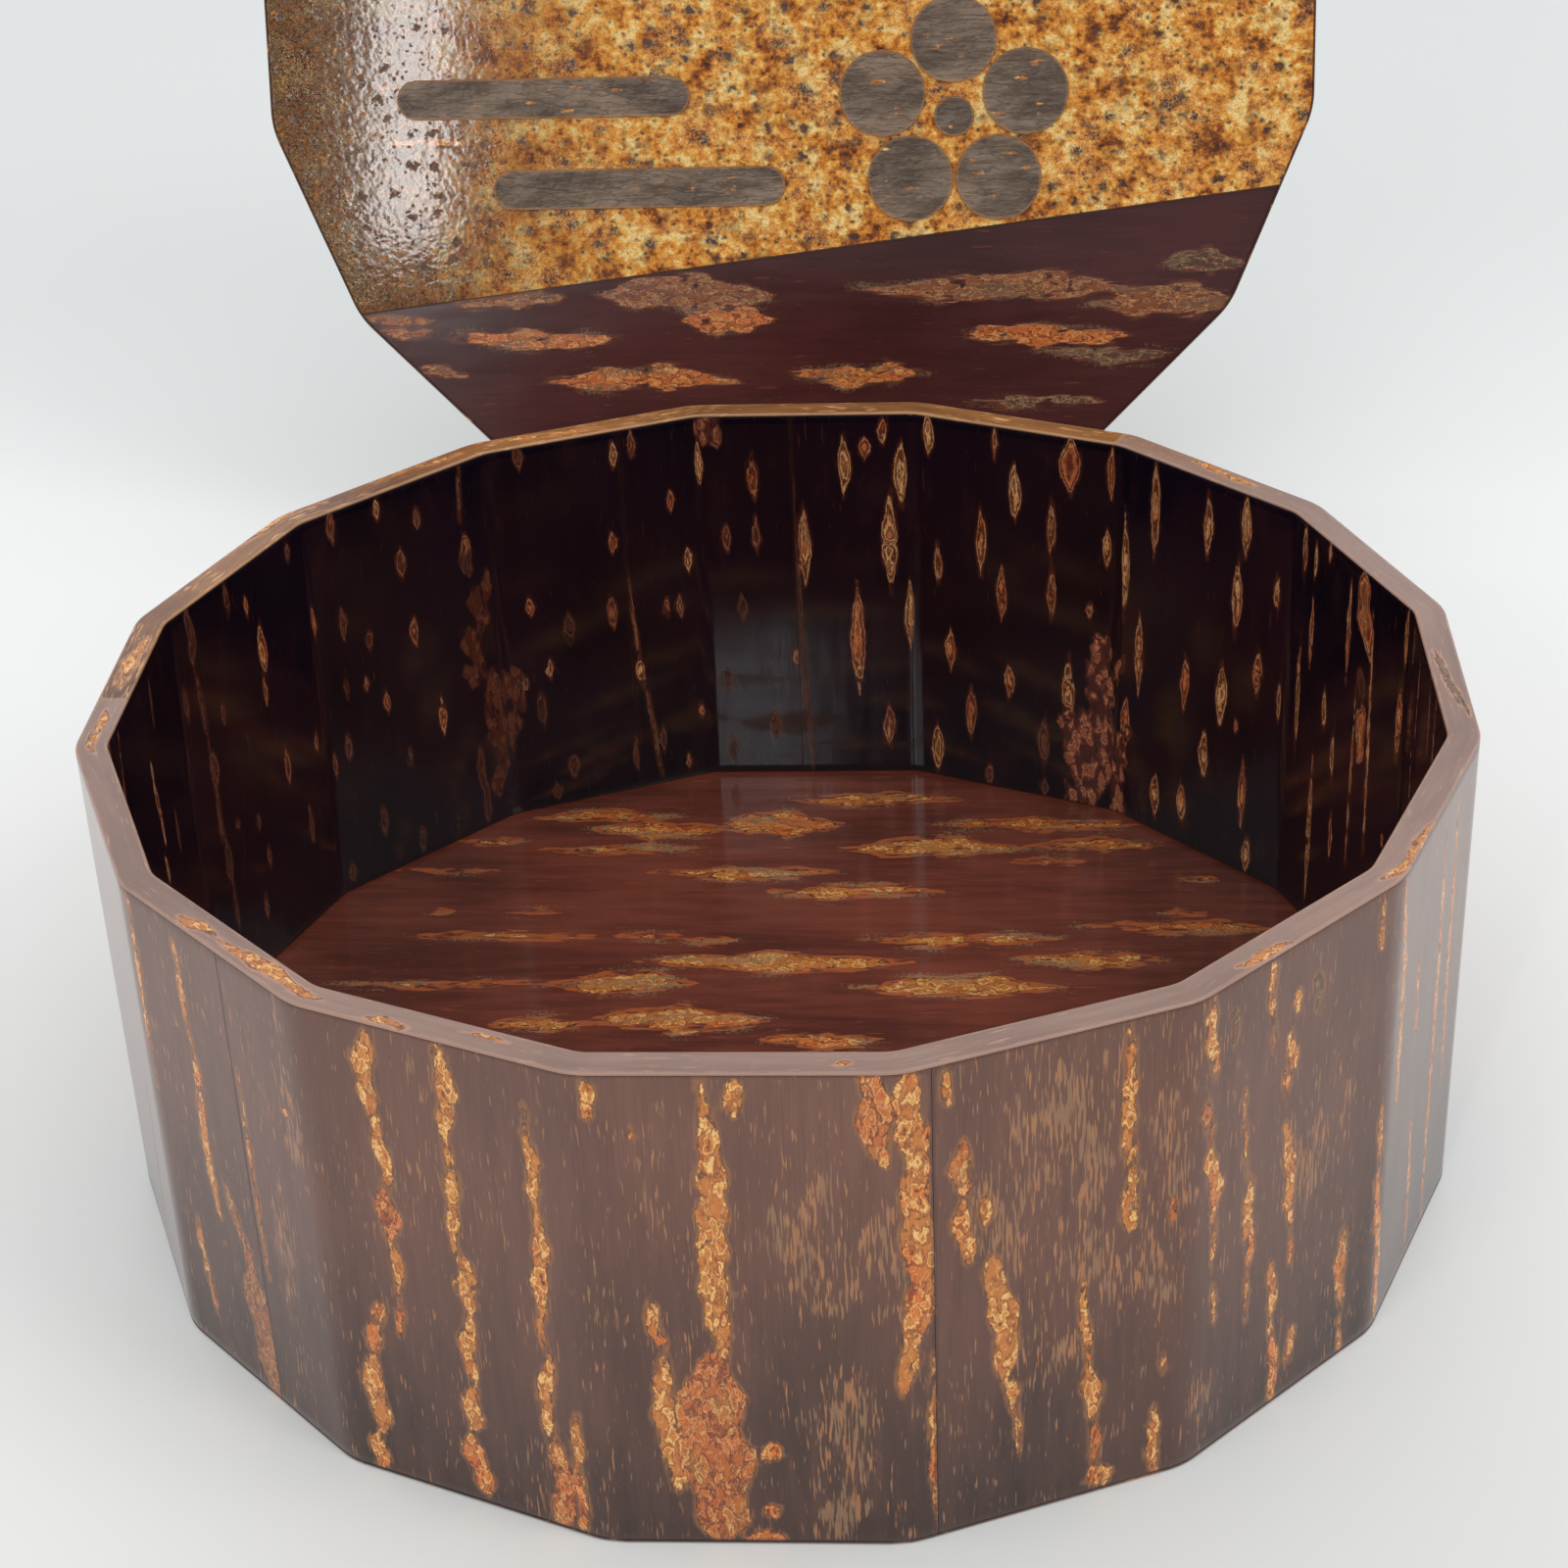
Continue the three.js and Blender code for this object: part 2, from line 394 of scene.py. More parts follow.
# The CAD node that a piece of bark stands for, the piece's kind, body and material, and its layer. The layer
# is a place in the noise of the material, so that no two pieces look alike
Bark = namedtuple("Bark", "node kind body material layer")


def add_piece(bark, vertices, faces, across, along, margin, knots, flecks):
    """A closed mesh that stands for a CAD node. Its attributes tell the material where each point lies."""
    body_frame = np.array(FRAMES[bark.body])
    placed = vertices @ body_frame[:3, :3].T + body_frame[:3, 3]
    name = f"{bark.node}_{bark.kind}"
    mesh = bpy.data.meshes.new(name)
    mesh.from_pydata(placed / METRE, [], faces)
    layer = np.full(across.shape, float(bark.layer))
    marks = (*knot_field(across, along, knots), fleck_field(across, along, flecks))
    for title, kind, part, values in (
        ("bark_grain", "FLOAT_VECTOR", "vector", np.stack([across, along, layer], axis=-1)),
        ("bark_marks", "FLOAT_VECTOR", "vector", np.stack(marks, axis=-1)),
        ("bark_margin", "FLOAT", "value", margin),
    ):
        attribute = mesh.attributes.new(title, kind, "POINT")
        attribute.data.foreach_set(part, np.ascontiguousarray(values, dtype=np.float32).ravel())
    shell = bmesh.new()
    shell.from_mesh(mesh)
    bmesh.ops.recalc_face_normals(shell, faces=shell.faces)
    shell.to_mesh(mesh)
    shell.free()
    mesh.shade_smooth()
    mesh.set_sharp_from_angle(angle=SHARP_ANGLE)
    mesh.materials.append(MATERIALS[bark.material])
    piece = add_object(name, mesh)
    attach(piece, bark.body)
    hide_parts(bark.node)


def rounded(corner, towards_first, towards_second, radius, steps):
    """Points of a round between two edges of a section, from the first edge to the second."""
    corner, first, second = Vector(corner), Vector(towards_first), Vector(towards_second)
    middle = corner + (first + second) * radius
    points = []
    for step in range(steps + 1):
        angle = math.pi / 2 * step / steps
        points.append(tuple(middle - second * radius * math.cos(angle) - first * radius * math.sin(angle)))
    return points


def upright_section(face, back, low, high):
    """A wall sheet's outline as (inset, height): its face in close rows, both edges eased, a plain back."""
    inward = 1 if back > face else -1
    reach = high - low - 2 * EASED_EDGE
    rows = round(reach / ROW_HEIGHT)
    section = [(face, low + EASED_EDGE + reach * row / rows) for row in range(rows)]
    section += rounded((face, high), (0, -1), (inward, 0), EASED_EDGE, EASED_STEPS)
    section += [(back, high), (back, low)]
    foot = rounded((face, low), (0, 1), (inward, 0), EASED_EDGE, EASED_STEPS)
    return section + foot[:0:-1]


def rim_section(low, high):
    """A rim strip's outline as (inset, height), its two upper edges rounded."""
    flat = WALL - 2 * RIM_ROUND
    section = [(WALL, low), (0, low)]
    section += rounded((0, high), (0, -1), (1, 0), RIM_ROUND, RIM_STEPS)
    section += [(RIM_ROUND + flat * row / RIM_ROWS, high) for row in range(1, RIM_ROWS)]
    return section + rounded((WALL, high), (0, -1), (-1, 0), RIM_ROUND, RIM_STEPS)[::-1]


def swept_piece(bark, start, end, section, knots, flecks=(), crosswise=False):
    """A section carried along the outline. Its fine lines run upright, or round the outline if crosswise."""
    ring = RINGS[bark.body]
    length = side_length(ring)
    back_off = GLUE / 2 / length
    places = np.array(places_between(ring, start + back_off, end - back_off))
    base = np.array([point_at(ring, place, 0) for place in places])
    facing = np.array([direction(facing_at(ring, place)) for place in places])
    inset, height = np.array(section).T
    shape = (len(places), len(section))
    vertices = np.empty((*shape, 3))
    vertices[:, :, :2] = base[:, None, :] - facing[:, None, :] * inset[None, :, None]
    vertices[:, :, 2] = height[None, :]
    faces = []
    count = len(section)
    for column in range(len(places) - 1):
        first, second = column * count, (column + 1) * count
        for row in range(count):
            after = (row + 1) % count
            faces.append((first + row, second + row, second + after, first + after))
    faces.append(tuple(range(count)))
    faces.append(tuple(range((len(places) - 1) * count, len(places) * count)))
    round_way = np.broadcast_to(places[:, None] * length, shape).ravel()
    section_way = np.broadcast_to((inset if crosswise else height)[None, :], shape).ravel()
    ways = (section_way, round_way) if crosswise else (round_way, section_way)
    margin = np.minimum.reduce([way - way.min() for way in ways] + [way.max() - way for way in ways])
    part = 1 if crosswise else 0
    low, high = start * length, end * length
    knots = moved_round(knots, ring, part)
    knots = [knot for knot in knots if low <= (knot.start + knot.end)[part] / 2 < high]
    flecks = moved_round(flecks, ring, part)
    flecks = [fleck for fleck in flecks if fleck.end[part] > low and fleck.start[part] < high]
    add_piece(bark, vertices.reshape(-1, 3), faces, *ways, margin, knots, flecks)


def stretches(seams):
    """Each sheet's first and last place, from the places of its seams."""
    return list(zip(seams, [*seams[1:], seams[0] + SIDES]))


def ring_outline(ring, inset):
    points = []
    for corner in range(SIDES):
        points += [tuple(point_at(ring, place, inset)) for place in round_places(ring, corner)]
    return points


def bar_outline(middle, length, width, inset):
    """A bar with round ends. A disc is a bar as long as it is wide."""
    radius = width / 2 - inset
    reach = (length - width) / 2
    points = []
    for end in (1, -1):
        for step in range(BAR_END_STEPS + 1):
            angle = math.pi * (step / BAR_END_STEPS - 0.5)
            x = middle[0] + end * (reach + radius * math.cos(angle))
            points.append((x, middle[1] + end * radius * math.sin(angle)))
    return points


def between(here, there, share):
    return here[0] + (there[0] - here[0]) * share, here[1] + (there[1] - here[1]) * share


def edges_of(outline):
    """Each corner of an outline with the next."""
    return zip(outline, outline[1:] + outline[:1])


def clipped(outline, point, normal):
    """The part of a convex outline behind a line."""

    def beyond(spot):
        return (spot[0] - point[0]) * normal[0] + (spot[1] - point[1]) * normal[1]

    kept = []
    for here, there in edges_of(outline):
        if beyond(here) <= 0:
            kept.append(here)
        if beyond(here) * beyond(there) < 0:
            kept.append(between(here, there, beyond(here) / (beyond(here) - beyond(there))))
    return kept


def row_reach(outline, y):
    """How far a convex outline reaches left and right at a height."""
    crossings = []
    for here, there in edges_of(outline):
        low, high = sorted((here[1], there[1]))
        if low - TINY <= y <= high + TINY:
            if high - low < TINY:
                crossings += [here[0], there[0]]
            else:
                crossings.append(between(here, there, (y - here[1]) / (there[1] - here[1]))[0])
    return min(crossings), max(crossings)


def plate_rows(outline):
    """Heights for a plate's rows: evenly spaced, and at the outline's own corners."""
    corners = sorted(point[1] for point in outline)
    low, high = corners[0], corners[-1]
    rows = [low]
    for height in sorted([*corners, *np.arange(low, high, PLATE_ROW)]):
        if min(height - rows[-1], high - height) > CLOSEST_ROWS:
            rows.append(height)
    return [*rows, high]


def plate_grid(outline):
    """A convex plate's face as a close grid: its points, its faces and the loop of points round its edge."""
    points, rows = [], []
    for y in plate_rows(outline):
        left, right = row_reach(outline, y)
        first_point = len(points)
        points.append((left, y))
        columns = {}
        for column in range(math.floor(left / PLATE_COLUMN) + 1, math.ceil(right / PLATE_COLUMN)):
            x = column * PLATE_COLUMN
            if min(x - left, right - x) > CLOSEST_COLUMNS:
                columns[column] = len(points)
                points.append((x, y))
        if right - left > TINY:
            points.append((right, y))
        rows.append((columns, list(range(first_point, len(points)))))
    faces = []
    for (lower, lower_line), (upper, upper_line) in zip(rows, rows[1:]):
        cuts = [(0, 0)]
        for column in sorted(set(lower) & set(upper)):
            cuts.append((lower[column] - lower_line[0], upper[column] - upper_line[0]))
        cuts.append((len(lower_line) - 1, len(upper_line) - 1))
        for (lower_from, upper_from), (lower_to, upper_to) in zip(cuts, cuts[1:]):
            face = lower_line[lower_from:lower_to + 1] + upper_line[upper_from:upper_to + 1][::-1]
            if len(face) > 2:
                faces.append(tuple(face))
    left_side = [line[0] for _, line in rows]
    right_side = [line[-1] for _, line in rows]
    loop = rows[0][1] + right_side[1:-1] + rows[-1][1][::-1] + left_side[1:-1][::-1]
    return np.array(points), faces, list(dict.fromkeys(loop))


def unit(ways):
    return ways / np.linalg.norm(ways, axis=1, keepdims=True)


def right_of(ways):
    return np.stack([ways[:, 1], -ways[:, 0]], axis=-1)


def plate_mesh(outline, low, high, edge, face_down):
    """A convex plate whose face is a close grid and whose face edge is rounded by the given radius."""
    flat, faces, loop = plate_grid(outline)
    around = flat[loop]
    ahead = unit(np.roll(around, -1, axis=0) - around)
    behind = unit(around - np.roll(around, 1, axis=0))
    outward = right_of(unit(ahead + behind))
    outward /= np.maximum(np.sum(outward * right_of(ahead), axis=1), SHARPEST_CORNER)[:, None]
    heights = np.full(len(flat), high)
    steps = round(edge / EDGE_FACET)
    loops = [loop]
    for step in range(1, steps + 2):
        angle = math.pi / 2 * min(step, steps) / steps
        drop = edge * (1 - math.cos(angle)) if step <= steps else high - low
        loops.append(list(range(len(flat), len(flat) + len(loop))))
        flat = np.vstack([flat, around + outward * (edge * math.sin(angle))])
        heights = np.append(heights, np.full(len(loop), high - drop))
    for upper, lower in zip(loops, loops[1:]):
        for index in range(len(loop)):
            after = (index + 1) % len(loop)
            faces.append((upper[index], upper[after], lower[after], lower[index]))
    faces.append(tuple(loops[-1]))
    if face_down:
        heights = low + high - heights
    return np.column_stack([flat, heights]), faces


def edge_distance(outline, spots):
    """How far inside a convex outline each spot lies."""
    here = np.array(outline)
    way = np.roll(here, -1, axis=0) - here
    long_enough = np.linalg.norm(way, axis=1) > TINY
    here, inward = here[long_enough], -right_of(unit(way[long_enough]))
    return (spots @ inward.T - np.sum(here * inward, axis=1)).min(axis=1)


# The folds and dimples of a plate with relief: how many for a millimetre of x and of y, and their share in it
FOLDS_IN_X, FOLDS_IN_Y, FOLD_SHARE = 0.10, 0.32, 0.9
DIMPLES_IN_X, DIMPLES_IN_Y, DIMPLE_SHARE = 0.35, 0.6, 0.35
DIMPLE_LAYER = 9


def plate_piece(bark, outline, low, high, knots, edge=EASED_EDGE, face_down=False, relief=0.0):
    """A plate of bark whose fine lines run along x. Relief is how deep the folds of its face are."""
    vertices, faces = plate_mesh(outline, low, high, edge, face_down)
    if relief:
        for index in np.flatnonzero(vertices[:, 2] > high - TINY):
            x, y, _ = vertices[index]
            folds = noise.noise(Vector((x * FOLDS_IN_X + bark.layer, y * FOLDS_IN_Y, bark.layer)))
            dimples = noise.noise(Vector((x * DIMPLES_IN_X, y * DIMPLES_IN_Y, bark.layer + DIMPLE_LAYER)))
            depth = 0.5 + FOLD_SHARE * folds + DIMPLE_SHARE * dimples
            vertices[index, 2] -= relief * min(1.0, max(0.0, depth))
    margin = edge_distance(outline, vertices[:, :2])
    add_piece(bark, vertices, faces, vertices[:, 1], vertices[:, 0], margin, knots, [])


# Materials

BARK_IOR = 1.58


def tint(red, green, blue):
    """A colour as seen on a screen, 0 to 255, for a shader."""
    shares = [value / 255 for value in (red, green, blue)]
    linear = [value / 12.92 if value <= 0.04045 else ((value + 0.055) / 1.055) ** 2.4 for value in shares]
    return (*linear, 1.0)


class Value:
    """A number that a shader's node gives. It is reckoned with like any other number."""

    def __init__(self, shader, socket):
        self.shader, self.socket = shader, socket

    def __add__(self, other):
        return self.shader.math("ADD", self, other)

    def __radd__(self, other):
        return self.shader.math("ADD", other, self)

    def __sub__(self, other):
        return self.shader.math("SUBTRACT", self, other)

    def __rsub__(self, other):
        return self.shader.math("SUBTRACT", other, self)

    def __mul__(self, other):
        return self.shader.math("MULTIPLY", self, other)

    def __abs__(self):
        return self.shader.math("ABSOLUTE", self)

    def step(self, start, end):
        """0 at the start, 1 at the end, smooth between them."""
        feeds = {"Value": self, "From Min": start, "From Max": end}
        return self.shader.value("ShaderNodeMapRange", feeds, interpolation_type="SMOOTHSTEP")

    def line(self, level, wide, narrow):
        """1 close to a level and 0 away from it, so that a noise draws lines where it crosses the level."""
        return abs(self - level).step(wide, narrow)


class Shader:
    """A tree of nodes that are added and wired by short calls."""

    def __init__(self, tree):
        self.nodes, self.links = tree.nodes, tree.links

    def feed(self, socket, value):
        if isinstance(value, Value):
            value = value.socket
        if isinstance(value, bpy.types.NodeSocket):
            self.links.new(value, socket)
        else:
            socket.default_value = value

    def add(self, kind, feeds, **settings):
        node = self.nodes.new(kind)
        for title, value in settings.items():
            setattr(node, title, value)
        for socket, value in feeds.items():
            self.feed(node.inputs[socket], value)
        return node

    def value(self, kind, feeds, output=0, **settings):
        return Value(self, self.add(kind, feeds, **settings).outputs[output])

    def math(self, operation, first, second=0.0, clamp=False):
        return self.value("ShaderNodeMath", {0: first, 1: second}, operation=operation, use_clamp=clamp)

    def vector(self, operation, first, second):
        return self.add("ShaderNodeVectorMath", {0: first, 1: second}, operation=operation).outputs[0]

    def split(self, vector):
        return [Value(self, part) for part in self.add("ShaderNodeSeparateXYZ", {0: vector}).outputs]


class Material(Shader):
    """A shader whose colour is laid on in layers.

    A noise has about one feature for each 1 of its place, and across and along say how many for a millimetre.
    """

    def __init__(self, name, on_bark=True):
        self.material = bpy.data.materials.new(name)
        self.material.use_nodes = True
        super().__init__(self.material.node_tree)
        self.surface = self.nodes["Principled BSDF"]
        self.colour = None
        if on_bark:
            self.place = self.attribute("bark_grain", "Vector")
            self.outside, self.tone, self.density = self.split(self.attribute("bark_marks", "Vector"))
        else:
            self.place = self.add("ShaderNodeTexCoord", {}).outputs["Object"]

    def attribute(self, title, output):
        return self.add("ShaderNodeAttribute", {}, attribute_name=title).outputs[output]

    def margin(self):
        return Value(self, self.attribute("bark_margin", "Fac"))

    def noise_node(self, across, along, deep, detail, roughness):
        place = self.vector("MULTIPLY", self.place, (across, along, deep))
        feeds = {"Vector": place, "Scale": 1.0, "Detail": detail, "Roughness": roughness}
        return self.add("ShaderNodeTexNoise", feeds)

    def noise(self, across, along, detail=2.0, roughness=0.5, deep=1.0):
        return Value(self, self.noise_node(across, along, deep, detail, roughness).outputs[0])

    def warp(self, across, along, strength):
        """A shift of places in the plane of the bark."""
        colour = self.noise_node(across, along, 1.0, 2.0, 0.5).outputs[1]
        return self.vector("MULTIPLY", colour, (strength, strength, 0.0))

    def cells(self, across, along, warp):
        """The distance from the nearest cell's middle, and a number of that cell's own."""
        pulled = self.vector("MULTIPLY", self.place, (across, along, 1.0))
        feeds = {"Vector": self.vector("ADD", pulled, warp), "Scale": 1.0}
        outputs = self.add("ShaderNodeTexVoronoi", feeds).outputs
        return Value(self, outputs["Distance"]), self.split(outputs["Color"])[0]

    def blend(self, share, first, second):
        first, second = (tint(*colour) if isinstance(colour, tuple) else colour for colour in (first, second))
        return self.add("ShaderNodeMix", {0: share, 6: first, 7: second}, data_type="RGBA").outputs[2]

    def lay(self, share, colour):
        self.colour = self.blend(share, self.colour, colour)

    def ramp(self, share, stops):
        node = self.add("ShaderNodeValToRGB", {0: share})
        elements = node.color_ramp.elements
        while len(elements) < len(stops):
            elements.new(0.5)
        for element, (place, *colour) in zip(elements, stops):
            element.position = place
            element.color = tint(*colour)
        return node.outputs[0]

    def finish(self, roughness, height):
        """Wires the colour, a roughness and a height in millimetres to the surface."""
        bump = self.add("ShaderNodeBump", {"Strength": 1.0, "Distance": 1 / METRE, "Height": height})
        self.feed(self.surface.inputs["Base Color"], self.colour)
        self.feed(self.surface.inputs["Roughness"], roughness)
        self.feed(self.surface.inputs["Normal"], bump.outputs[0])
        return self.material


# Ramps of colour: a place from 0 to 1, then red, green and blue

# From a swirled cell's middle outwards
KNOT_TONES = (
    (0.0, 64, 32, 18), (0.10, 120, 62, 26), (0.22, 180, 102, 40), (0.36, 212, 132, 54),
    (0.48, 192, 110, 42), (0.56, 236, 172, 90), (0.62, 250, 208, 134), (0.68, 212, 132, 58),
    (0.80, 148, 80, 34), (0.95, 200, 120, 50),
)
ORANGE_TONES = (
    (0.0, 36, 17, 12), (0.11, 100, 42, 16), (0.24, 196, 92, 30), (0.40, 226, 118, 42), (0.52, 204, 94, 32),
    (0.60, 246, 168, 86), (0.68, 200, 94, 32), (0.82, 112, 46, 20), (0.95, 210, 106, 38),
)
DULL_TONES = (
    (0.0, 50, 34, 28), (0.12, 76, 54, 42), (0.30, 108, 80, 58), (0.50, 92, 66, 50), (0.64, 140, 110, 80),
    (0.78, 84, 58, 44),
)
# The same in a scarred patch
SCAR_TONES = (
    (0.0, 88, 42, 34), (0.16, 140, 74, 54), (0.34, 176, 100, 70), (0.46, 122, 62, 47),
    (0.56, 226, 152, 106), (0.64, 148, 80, 57), (0.90, 80, 38, 33),
)
# From an almond's edge to its middle
ALMOND_TONES = (
    (0.0, 140, 88, 60), (0.10, 228, 172, 122), (0.20, 120, 64, 40), (0.33, 66, 31, 25),
    (0.45, 194, 118, 68), (0.60, 246, 192, 134), (0.78, 104, 54, 34), (1.0, 196, 124, 76),
)
RED_ALMOND_TONES = (
    (0.0, 120, 66, 48), (0.10, 204, 130, 90), (0.20, 98, 44, 32), (0.36, 80, 32, 26), (0.50, 192, 96, 54),
    (0.66, 226, 134, 78), (1.0, 116, 48, 32),
)
DULL_ALMOND_TONES = (
    (0.0, 84, 58, 48), (0.10, 128, 94, 76), (0.22, 46, 28, 27), (0.40, 38, 21, 23), (0.60, 94, 60, 48),
    (1.0, 66, 42, 36),
)
# From the darkest to the palest mottle of the golden bark, and back
GOLD_TONES = (
    (0.29, 76, 38, 22), (0.37, 156, 84, 30), (0.44, 212, 130, 46), (0.52, 234, 160, 68),
    (0.59, 246, 194, 104), (0.66, 254, 224, 154), (0.78, 232, 166, 80),
)


def knot_fill(shader, inside, ringed=0.0, stretch=1.0):
    """Inside a knot: swirled cells of cream, gold and amber, or rings like its outline where it is ringed."""
    tone = shader.tone
    cell, own = shader.cells(0.46, 0.25 * stretch, shader.warp(0.55, 0.3 * stretch, 1.6))
    fine = shader.noise(1.6, 0.7 * stretch, detail=3.0, roughness=0.65) - 0.5
    closed = own.step(0.40, 0.50) * 0.16
    rings = cell * 1.25 + closed + fine * 0.6
    reddened = (shader.noise(0.2, 0.08 * stretch) + tone * 0.6).step(0.66, 0.88)
    warm = shader.blend(reddened, shader.ramp(rings, KNOT_TONES), shader.ramp(rings, ORANGE_TONES))
    colour = shader.blend(tone.step(0.5, 0.9), warm, shader.ramp(rings, DULL_TONES))
    curls = shader.noise(0.8, 0.38 * stretch)
    colour = shader.blend(curls.line(0.44, 0.020, 0.004) * 0.5, colour, (240, 200, 134))
    colour = shader.blend(curls.line(0.56, 0.014, 0.003) * 0.4, colour, (78, 38, 24))
    if ringed:
        swirls = (cell - 0.42) * inside.step(0.2, 0.9)
        depth = inside * 0.5 + (fine * 0.5 + swirls * 0.8)
        warm = shader.blend(reddened, shader.ramp(depth, ALMOND_TONES), shader.ramp(depth, RED_ALMOND_TONES))
        almond = shader.blend(tone.step(0.5, 0.95), warm, shader.ramp(depth, DULL_ALMOND_TONES))
        almond = shader.blend(shader.noise(0.5, 0.17).step(0.46, 0.62) * 0.4, almond, (58, 30, 24))
        colour = shader.blend(ringed, colour, almond)
        colour = shader.blend(tone.step(1.1, 1.2), colour, shader.ramp(rings, SCAR_TONES))
    return colour, rings


def bark_material(
    name, ground, hair, fleck, halo, wear, ragged, shine, foot=0.0, cloud=None, grey=None, ringed=0.0,
    fill=(1.0, 0.75), rim=((62, 32, 22), 0.7), sunk=0.0, stretch=1.0, cell_stretch=1.0,
):
    """Polished cherry bark: its ground, fine lines, flecks and knots.

    The ground has a dark and a light colour, and is lighter upwards as far as foot says: painted shade that
    darkens the ground towards the foot of the wall. Fleck holds the dashes' two colours, their haze's colour,
    their share and how many lie outside their fields. Hair, wear, cloud and rim are a colour and its share,
    and halo and grey a colour and its reach round a knot. Fill is how full of colour the golden and the dull
    knots are, and sunk how far in from their edge that begins.
    Ringed is the share of rings in them, ragged how uneven their edge is, and stretch and cell_stretch how
    short its waves and their cells are.
    """
    shader = Material(name)
    shader.surface.inputs["IOR"].default_value = BARK_IOR
    tone = shader.tone

    # Ground
    broad = shader.noise(0.035, 0.014, detail=3.0)
    middling = shader.noise(0.35, 0.04, detail=4.0, roughness=0.6)
    hairs = shader.noise(3.2, 0.05, detail=3.0, roughness=0.6)
    share = (broad * 1.2 + middling * 0.8).step(0.70, 1.30)
    # Painted shade: the ground darkens towards the foot of the wall, as far as foot says
    if foot:
        rise = shader.split(shader.place)[1].step(-15.0, 95.0)
        share = share * (1 - foot) + rise * foot
    shader.colour = shader.blend(share, *ground)
    shader.lay(hairs.step(0.42, 0.74) * hair[1], hair[0])
    if cloud:
        haze = shader.noise(0.10, 0.045, detail=4.0, roughness=0.65)
        shader.lay(haze.step(0.52, 0.72) * cloud[1], cloud[0])

    # Dashes and spindles
    dash, warm_dash, dash_haze, dash_share, everywhere = fleck
    bars = shader.noise(2.0, 0.18, detail=1.5, roughness=0.55)
    spread = shader.noise(0.13, 0.05, detail=3.0, roughness=0.65)
    gathered = shader.density * (0.09 + spread.step(0.30, 0.60) * 0.07)
    crowd = gathered + spread.step(0.42, 0.64) * everywhere
    dashes = (bars - (0.69 - crowd)).step(-0.02, 0.08)
    dash_colour = shader.blend(shader.noise(0.45, 0.06).step(0.42, 0.58), dash, warm_dash)
    shader.lay(crowd.step(0.06, 0.22) * (0.16 * dash_share), dash_haze)
    shader.lay(dashes * dash_share, dash_colour)
    shader.lay(shader.noise(0.75, 0.085, detail=1.5).step(0.70, 0.76) * 0.7, dash_haze)

    # Knots with a ragged edge, a fringe outside it and a dark rind inside it
    wobble = (shader.noise(0.6, 0.2 * stretch) - 0.5) * (2.2 * ragged)
    bite = (shader.noise(2.4, 0.7 * stretch * stretch) - 0.5) * ragged
    edge = shader.outside + (wobble + bite)
    fringe = edge.step(halo[1], 0.0) * shader.noise(0.8, 0.16).step(0.34, 0.54)
    shader.lay(fringe * 0.85, halo[0])
    inner, rings = knot_fill(shader, edge * -1.0, ringed, cell_stretch)
    core = edge.step(0.10 - sunk, -0.10 - sunk)
    fullness = fill[0] + tone.step(0.45, 1.0) * (fill[1] - fill[0])
    filled = core * (fullness * (1.0 - tone.step(1.1, 1.2)))
    scarred = shader.math("MULTIPLY", tone - 1.1, 1.9, clamp=True) * edge.step(1.3, -0.4)
    shader.lay(filled + scarred, inner)
    rind = edge.step(-0.30 - sunk, -0.12 - sunk) * edge.step(0.16 - sunk, -0.02 - sunk)
    broken = shader.noise(1.1, 0.5, detail=1.0).step(0.40, 0.52)
    shader.lay(rind * broken * rim[1], rim[0])
    if grey:
        speckle = shader.noise(1.3, 0.9, detail=3.0, roughness=0.75)
        near = edge.step(grey[1], -0.4) * shader.noise(0.30, 0.045).step(0.50, 0.62)
        shader.lay(near * (speckle + near * 0.10).step(0.54, 0.64) * 0.85, grey[0])

    # Worn edges of the sheet
    rubbed = (shader.margin() + bars * -1.2).step(0.1, -0.35)
    shader.lay(rubbed * wear[1], wear[0])

    rough = shine + shader.noise(0.9, 0.4) * 0.05 + core * 0.10
    relief = hairs * 0.006 + rings * core * 0.03
    return shader.finish(rough, shader.noise(0.07, 0.02) * 0.12 + (relief + core * 0.02))


